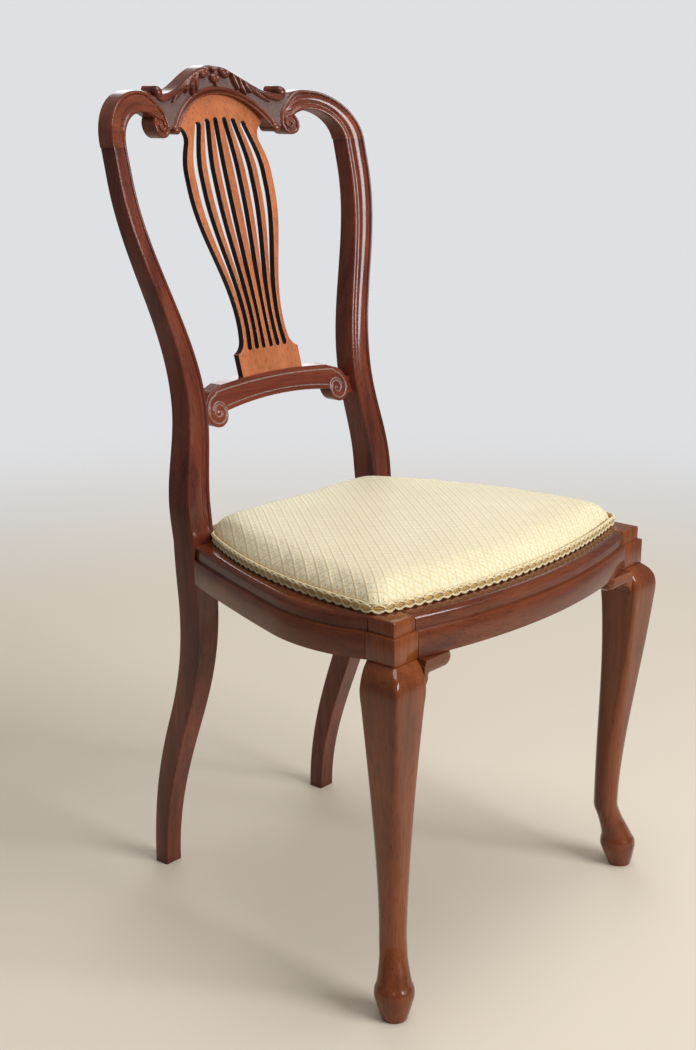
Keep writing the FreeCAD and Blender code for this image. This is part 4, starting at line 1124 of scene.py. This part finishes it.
def damask():
    # straw silk with a small trellis of diamonds, each with a spot at its heart
    mat, tree, coords = newFinish("strawDamask")
    s = seatCloth
    split = node(tree, "SeparateXYZ", {0: mapped(tree, coords, (1 / s["across"], 1 / s["along"], 1))}).outputs

    def folded(value):
        # 0 on the trellis lines, 0.5 between them
        part = maths(tree, "FRACT", value)
        return maths(tree, "MINIMUM", part, maths(tree, "SUBTRACT", 1.0, part))

    fu = folded(maths(tree, "ADD", split[0], split[1]))
    fv = folded(maths(tree, "SUBTRACT", split[0], split[1]))
    trellis = ramp(tree, maths(tree, "MINIMUM", fu, fv), (s["line"] * 0.6, 1.0), (s["line"] * 1.5, 0.0))
    heart = maths(tree, "ADD", maths(tree, "SUBTRACT", 0.5, fu), maths(tree, "SUBTRACT", 0.5, fv))
    spot = ramp(tree, heart, (0.10, 1.0), (0.19, 0.0), (0.30, 0.0), (0.34, 0.6), (0.40, 0.0))
    figure = mix(tree, "LIGHTEN", 1.0, trellis, spot)
    weft = noise(tree, mapped(tree, coords, (900, 60, 60)), 1.0, 3)
    warp = noise(tree, mapped(tree, coords, (60, 900, 60)), 1.0, 3)
    cloth = mix(tree, "MIX", weft, s["shade"], s["ground"])
    soil = ramp(tree, noise(tree, coords, 9.0, 3), (0.35, 0.93), (0.65, 1.0))
    cloth = mix(tree, "MULTIPLY", 1.0, cloth, soil)
    cloth = mix(tree, "MIX", maths(tree, "MULTIPLY", figure, warp), cloth, s["gold"])
    normal = bump(tree, mix(tree, "MIX", 0.5, weft, warp), 0.00025, 0.6)
    normal = bump(tree, figure, 0.0007, 0.7, normal)
    surface(tree, {"Base Color": cloth, "Roughness": mix(tree, "MIX", figure, 0.72, 0.42), "Normal": normal,
                   "Sheen Weight": 0.2, "Sheen Roughness": 0.4, "Specular IOR Level": 0.3})
    return mat


def applied(obj, name, kind, **fields):
    made = obj.modifiers.new(name, kind)
    for field, value in fields.items():
        setattr(made, field, value)
    bpy.ops.object.modifier_apply(modifier=name)


def plump(obj):
    # the cover swells over its stuffing; its foot stays nailed down
    g = seatPad
    scene = bpy.context.scene
    bpy.context.view_layer.objects.active = obj
    bpy.ops.object.select_all(action="DESELECT")
    obj.select_set(True)
    applied(obj, "remesh", "REMESH", mode="VOXEL", voxel_size=g["voxel"])
    smoothed(obj.data)
    rest = places(obj.data)
    cloth = obj.modifiers.new("swell", "CLOTH")
    cloth.settings.use_pressure = True
    cloth.settings.uniform_pressure_force = g["pressure"]
    cloth.settings.effector_weights.gravity = 0
    cloth.settings.quality = 4
    cloth.settings.tension_stiffness = g["stretch"]
    cloth.settings.bending_stiffness = g["bend"]
    cloth.point_cache.frame_start = 1
    cloth.point_cache.frame_end = g["frames"]
    for step in range(1, g["frames"] + 1):
        scene.frame_set(step)
    move = places(obj.evaluated_get(bpy.context.evaluated_depsgraph_get()).data) - rest
    obj.modifiers.remove(cloth)
    scene.frame_set(1)
    size = np.linalg.norm(move, axis=1, keepdims=True)
    move *= np.minimum(1, g["cap"] * mm / np.maximum(size, 1e-9))
    held, over = g["nailed"]
    free = np.clip((rest[:, 2:] / mm - seatZ - held) / over, 0, 1)
    rest = rest + move * free * free * (3 - 2 * free)
    print("cover swelled by up to %.1f mm" % (float(size.max()) / mm))
    obj.data.vertices.foreach_set("co", rest.ravel())
    obj.data.update()
    applied(obj, "soft", "SUBSURF", levels=1, render_levels=1)


cover = meshPiece("seatCover", *seatMesh(), damask(), replaces=["seat_cover", "seat_stuffing"],
                  slot="seat_damask", angle=180, tidy=True)
plump(cover)
print("seat made")

# gimp braid: cream cords looped over a golden tape, with a scalloped lower edge
braid = {
    "low": 425.6, "height": 10.6, "pitch": 11.8, "loop": 3.0, "reach": 3.4, "out": 0.9,
    "sides": 7, "step": 1.0,
    "top": 0.9, "looped": 1.2, "scallop": 1.35, "scallopDeep": 2.6, "tape": (2.2, 0.4),
    "gold": ((0.66, 0.38, 0.09), (0.86, 0.57, 0.18)), "cream": ((0.82, 0.66, 0.35), (0.95, 0.83, 0.54)),
}


def braidPath():
    # the run round the seat, and the way outward at each place
    ring = padRing(-0.2)
    ring = ring[::-1] if ring[1, 0] < ring[0, 0] else ring
    path = evenly(np.concatenate([ring, ring[:1]]), braid["step"])[:-1]
    along = np.roll(path, -1, 0) - np.roll(path, 1, 0)
    along /= np.linalg.norm(along, axis=1, keepdims=True)
    return path, np.stack([along[:, 1], -along[:, 0]], 1)


def braidCords(path, out):
    g, n = braid, len(path)
    turn = 2 * np.pi * round(n * g["step"] / g["pitch"]) * (np.arange(n) / n)
    still = 0 * turn
    middle, edge = g["low"] + g["height"] * 0.56, g["low"] + g["height"] - g["top"]
    cords = [   # shift along the run, height, depth and thickness of each cord
        (still, edge + still, 0.8 + still, g["top"]),
        (g["reach"] * np.sin(turn), middle + g["loop"] * np.cos(turn), 1.1 + 0.5 * np.cos(turn), g["looped"]),
        (still, g["low"] + 3.4 - g["scallopDeep"] * np.abs(np.cos(turn / 2)), 0.9 + still, g["scallop"]),
    ]
    closed = np.concatenate([path, path[:1]])
    cream = []
    for shift, z, deep, r in cords:
        at = (np.arange(n) + shift / g["step"]) % n
        line = np.stack([np.interp(at, np.arange(n + 1), closed[:, k]) for k in (0, 1)], 1)
        line = line + out * (deep + g["out"])[:, None]
        rings = [np.column_stack([line + out * (r * np.cos(q)), z + r * np.sin(q)])
                 for q in np.linspace(0, 2 * np.pi, g["sides"], endpoint=False)]
        cream.append(skin(np.array(rings).transpose(1, 0, 2), closedPath=True))
    return joined(cream)


def tapeMesh(path, out):
    low, high = braid["low"] + braid["tape"][0], braid["low"] + braid["height"] - braid["tape"][1]
    band = [np.column_stack([path + out * d, np.full(len(path), z)])
            for d, z in ((0.2, low), (1.5, low), (1.8, (low + high) / 2), (1.5, high), (0.2, high))]
    return skin(np.array(band).transpose(1, 0, 2), closedPath=True)


def cordFinish(name, low, high):
    mat, tree, coords = newFinish(name)
    twist = {"Scale": 260.0, "Distortion": 2.0, "Vector": coords}
    ply = node(tree, "TexWave", twist, bands_direction="DIAGONAL").outputs["Fac"]
    soil = ramp(tree, noise(tree, coords, 60.0, 3), (0.3, 0.8), (0.7, 1.0))
    colour = mix(tree, "MULTIPLY", 1.0, mix(tree, "MIX", ply, low, high), soil)
    surface(tree, {"Base Color": colour, "Roughness": 0.6, "Sheen Weight": 0.3,
                   "Normal": bump(tree, ply, 0.0004)})
    return mat


path, out = braidPath()
meshPiece("braidTape", *tapeMesh(path, out), cordFinish("goldTape", *braid["gold"]), replaces=["gimp_braid"],
          slot="gimp_braid")
meshPiece("braidCords", *braidCords(path, out), cordFinish("creamCord", *braid["cream"]), slot="gimp_braid")
print("braid made")

# under the seat: webbing woven over and under, and a base cloth between it and the stuffing
under = {
    "width": 50.0, "thick": 1.8, "inset": 4.0, "pitchLong": 84.0, "pitchCross": 82.0, "low": 425.3,
    "lift": 1.9, "wave": 0.95, "clothZ": 429.8, "sag": 0.7,
    "jute": ((0.36, 0.25, 0.13), (0.26, 0.17, 0.08), 0.004),       # two colours, size of the checks in metres
    "hessian": ((0.32, 0.24, 0.14), (0.22, 0.16, 0.09), 0.0022),
}
seatMiddle = (frontY + seatPad["rearY"]) / 2


def weave(name):
    a, b, pitch = under[name]
    mat, tree, coords = newFinish(name)
    check = {"Scale": 1 / pitch, "Color1": a, "Color2": b, "Vector": coords}
    checks = node(tree, "TexChecker", check).outputs
    colour = mix(tree, "MULTIPLY", 0.4, checks[0], noise(tree, coords, 40, 4, out="Color"))
    surface(tree, {"Base Color": colour, "Roughness": 0.9, "Normal": bump(tree, checks["Fac"], 0.0004)})
    return mat


def strapLimits(across, place):
    ring = padRing(under["inset"])
    a, b = ring, np.roll(ring, -1, 0)
    k = 1 if across else 0
    hit = (a[:, k] - place) * (b[:, k] - place) < 0
    t = (place - a[hit, k]) / (b[hit, k] - a[hit, k])
    cut = a[hit, 1 - k] + t * (b[hit, 1 - k] - a[hit, 1 - k])
    return cut.min(), cut.max()


def strapMesh(across, number):
    # a strap crosses three others, over one and under the next
    u, half = under, under["width"] / 2
    pitch, otherPitch = (u["pitchCross"], u["pitchLong"]) if across else (u["pitchLong"], u["pitchCross"])
    first, other = (seatMiddle, 0.0) if across else (0.0, seatMiddle)
    place = first + number * pitch
    edges = [strapLimits(across, place + s * half * 0.98) for s in (-1, 0, 1)]
    rings = []
    for s in np.linspace(max(e[0] for e in edges), min(e[1] for e in edges), 90):
        wave = math.cos(math.pi * ((s - other) / otherPitch + number + (1 if across else 0)))
        z = u["low"] + u["lift"] + u["wave"] * wave
        ring = [(s, place + a * half, z + b * u["thick"] / 2) for a, b in
                ((-1, 0), (-0.96, 1), (0, 1), (0.96, 1), (1, 0), (0.96, -1), (0, -1), (-0.96, -1))]
        rings.append(ring if across else [(w, run, h) for run, w, h in ring])
    return skin(rings)


def clothMesh():
    ring = padRing(under["inset"] / 2)
    centre = np.array([0.0, seatMiddle])
    rings = []
    for share in np.linspace(1, 0.02, 26):
        z = np.full(len(ring), under["clothZ"] - under["sag"] * (1 - share ** 2))
        rings.append(np.column_stack([centre + (ring - centre) * share, z]))
    verts, faces = skin(rings, caps=False)
    faces.append(tuple(range(len(verts) - len(ring), len(verts))))
    return verts, faces, ring


verts, faces, cut = clothMesh()
baseCloth = meshPiece("baseCloth", verts, faces, weave("hessian"), replaces=["base_cloth"], slot="base_cloth")
jute = weave("jute")
for name, across, solid in (("webbingLong", False, "webbing_long"), ("webbingCross", True, "webbing_cross")):
    straps = joined([strapMesh(across, number) for number in (-1, 0, 1)])
    meshPiece(name, *straps, jute, replaces=[solid], slot="webbing", angle=60, tidy=True)
print("webbing and base cloth made")

# camera at the photograph's viewing angle, for a 696 x 1050 picture
view = {
    "place": (-1.272, -1.0838, 0.907), "azimuth": -48.87, "elevation": 15.85, "roll": -0.13,
    "focalPixels": 1530.0, "picture": (696, 1050), "sensor": 36,
}


def makeCamera():
    az, el, roll = [math.radians(view[word]) for word in ("azimuth", "elevation", "roll")]
    back = Vector((math.sin(az) * math.cos(el), -math.cos(az) * math.cos(el), math.sin(el)))
    right = Vector((math.cos(az), math.sin(az), 0))
    turn = Matrix.Rotation(roll, 3, back)
    right, up = turn @ right, turn @ back.cross(right)
    data = bpy.data.cameras.new("camera")
    data.sensor_fit = "HORIZONTAL"
    data.sensor_width = view["sensor"]
    data.lens = view["sensor"] * view["focalPixels"] / view["picture"][0]
    data.dof.use_dof = False
    data.clip_end = 50
    cam = placed("camera", data)
    cam.matrix_world = Matrix.Translation(view["place"]) @ Matrix((right, up, back)).transposed().to_4x4()
    bpy.context.scene.camera = cam


makeCamera()

# studio: pale floor that fades into a pale backdrop, soft lamps
studio = {
    "floor": (0.74, 0.655, 0.54), "floorNear": 0.9, "floorFar": 2.6,
    "backdrop": (0.735, 0.745, 0.765),
    "air": (0.96, 0.94, 0.92), "airPower": 0.23,
    "aim": (0, 0, 0.5),
    "lamps": [   # name, place, width, height, watts, colour
        ("windowLamp", (0.55, -2.9, 1.85), 1.6, 1.2, 88, (0.96, 0.98, 1.0)),
        ("leftLamp", (-2.6, -2.0, 2.3), 1.0, 1.0, 5, (1.0, 0.98, 0.95)),
        ("wallLamp", (1.9, 1.9, 1.35), 1.7, 1.3, 16, (0.95, 0.97, 1.0)),
        ("topLamp", (0.2, -0.3, 2.9), 1.6, 1.6, 34, (1.0, 0.99, 0.97)),
    ],
}


def makeFloor():
    # seen from above it fades out, and from below it is clear
    s = studio
    mat, tree, coords = newFinish("paleFloor")
    low = tuple(c * 0.985 for c in s["floor"])
    shade = ramp(tree, noise(tree, coords, 0.8, 2), (0.3, low), (0.7, s["floor"]))
    plain = node(tree, "BsdfPrincipled", {"Base Color": shade, "Roughness": 0.8}).outputs[0]
    away = node(tree, "VectorMath", {0: coords}, operation="LENGTH").outputs["Value"]
    reach = {"From Min": s["floorNear"], "From Max": s["floorFar"], "Value": away}
    fade = node(tree, "MapRange", reach, interpolation_type="SMOOTHSTEP").outputs[0]
    gone = maths(tree, "MAXIMUM", fade, node(tree, "NewGeometry").outputs["Backfacing"])
    clear = node(tree, "BsdfTransparent").outputs[0]
    node(tree, "OutputMaterial", {0: node(tree, "MixShader", {0: gone, 1: plain, 2: clear}).outputs[0]})
    bm = bmesh.new()
    bmesh.ops.create_circle(bm, cap_ends=True, segments=96, radius=s["floorFar"] + 0.1)
    mesh = bpy.data.meshes.new("floor")
    bm.to_mesh(mesh)
    bm.free()
    mesh.materials.append(mat)
    floor = placed("floor", mesh)
    floor.location.z = -0.0002


def makeAir():
    # the camera sees the backdrop's colour, the chair gets the soft light of the room
    world = bpy.data.worlds.new("studioAir")
    world.use_nodes = True
    tree = world.node_tree
    air = tree.nodes["Background"]
    feed(tree, air.inputs[0], studio["air"])
    feed(tree, air.inputs[1], studio["airPower"])
    seen = node(tree, "Background", {0: studio["backdrop"]}).outputs[0]
    path = node(tree, "LightPath").outputs
    either = maths(tree, "MAXIMUM", path["Is Camera Ray"], path["Is Transmission Ray"])
    both = node(tree, "MixShader", {0: either, 1: air.outputs[0], 2: seen}).outputs[0]
    feed(tree, tree.nodes["World Output"].inputs[0], both)
    bpy.context.scene.world = world


def makeLamps():
    for name, place, width, height, watts, colour in studio["lamps"]:
        data = bpy.data.lights.new(name, "AREA")
        data.shape = "RECTANGLE"
        data.size = width
        data.size_y = height
        data.energy = watts
        data.color = colour
        lamp = placed(name, data)
        lamp.location = place
        lamp.rotation_euler = (Vector(studio["aim"]) - Vector(place)).to_track_quat("-Z", "Y").to_euler()


makeFloor()
makeAir()
makeLamps()
bpy.context.scene.view_settings.view_transform = "Standard"
print("camera and studio made")
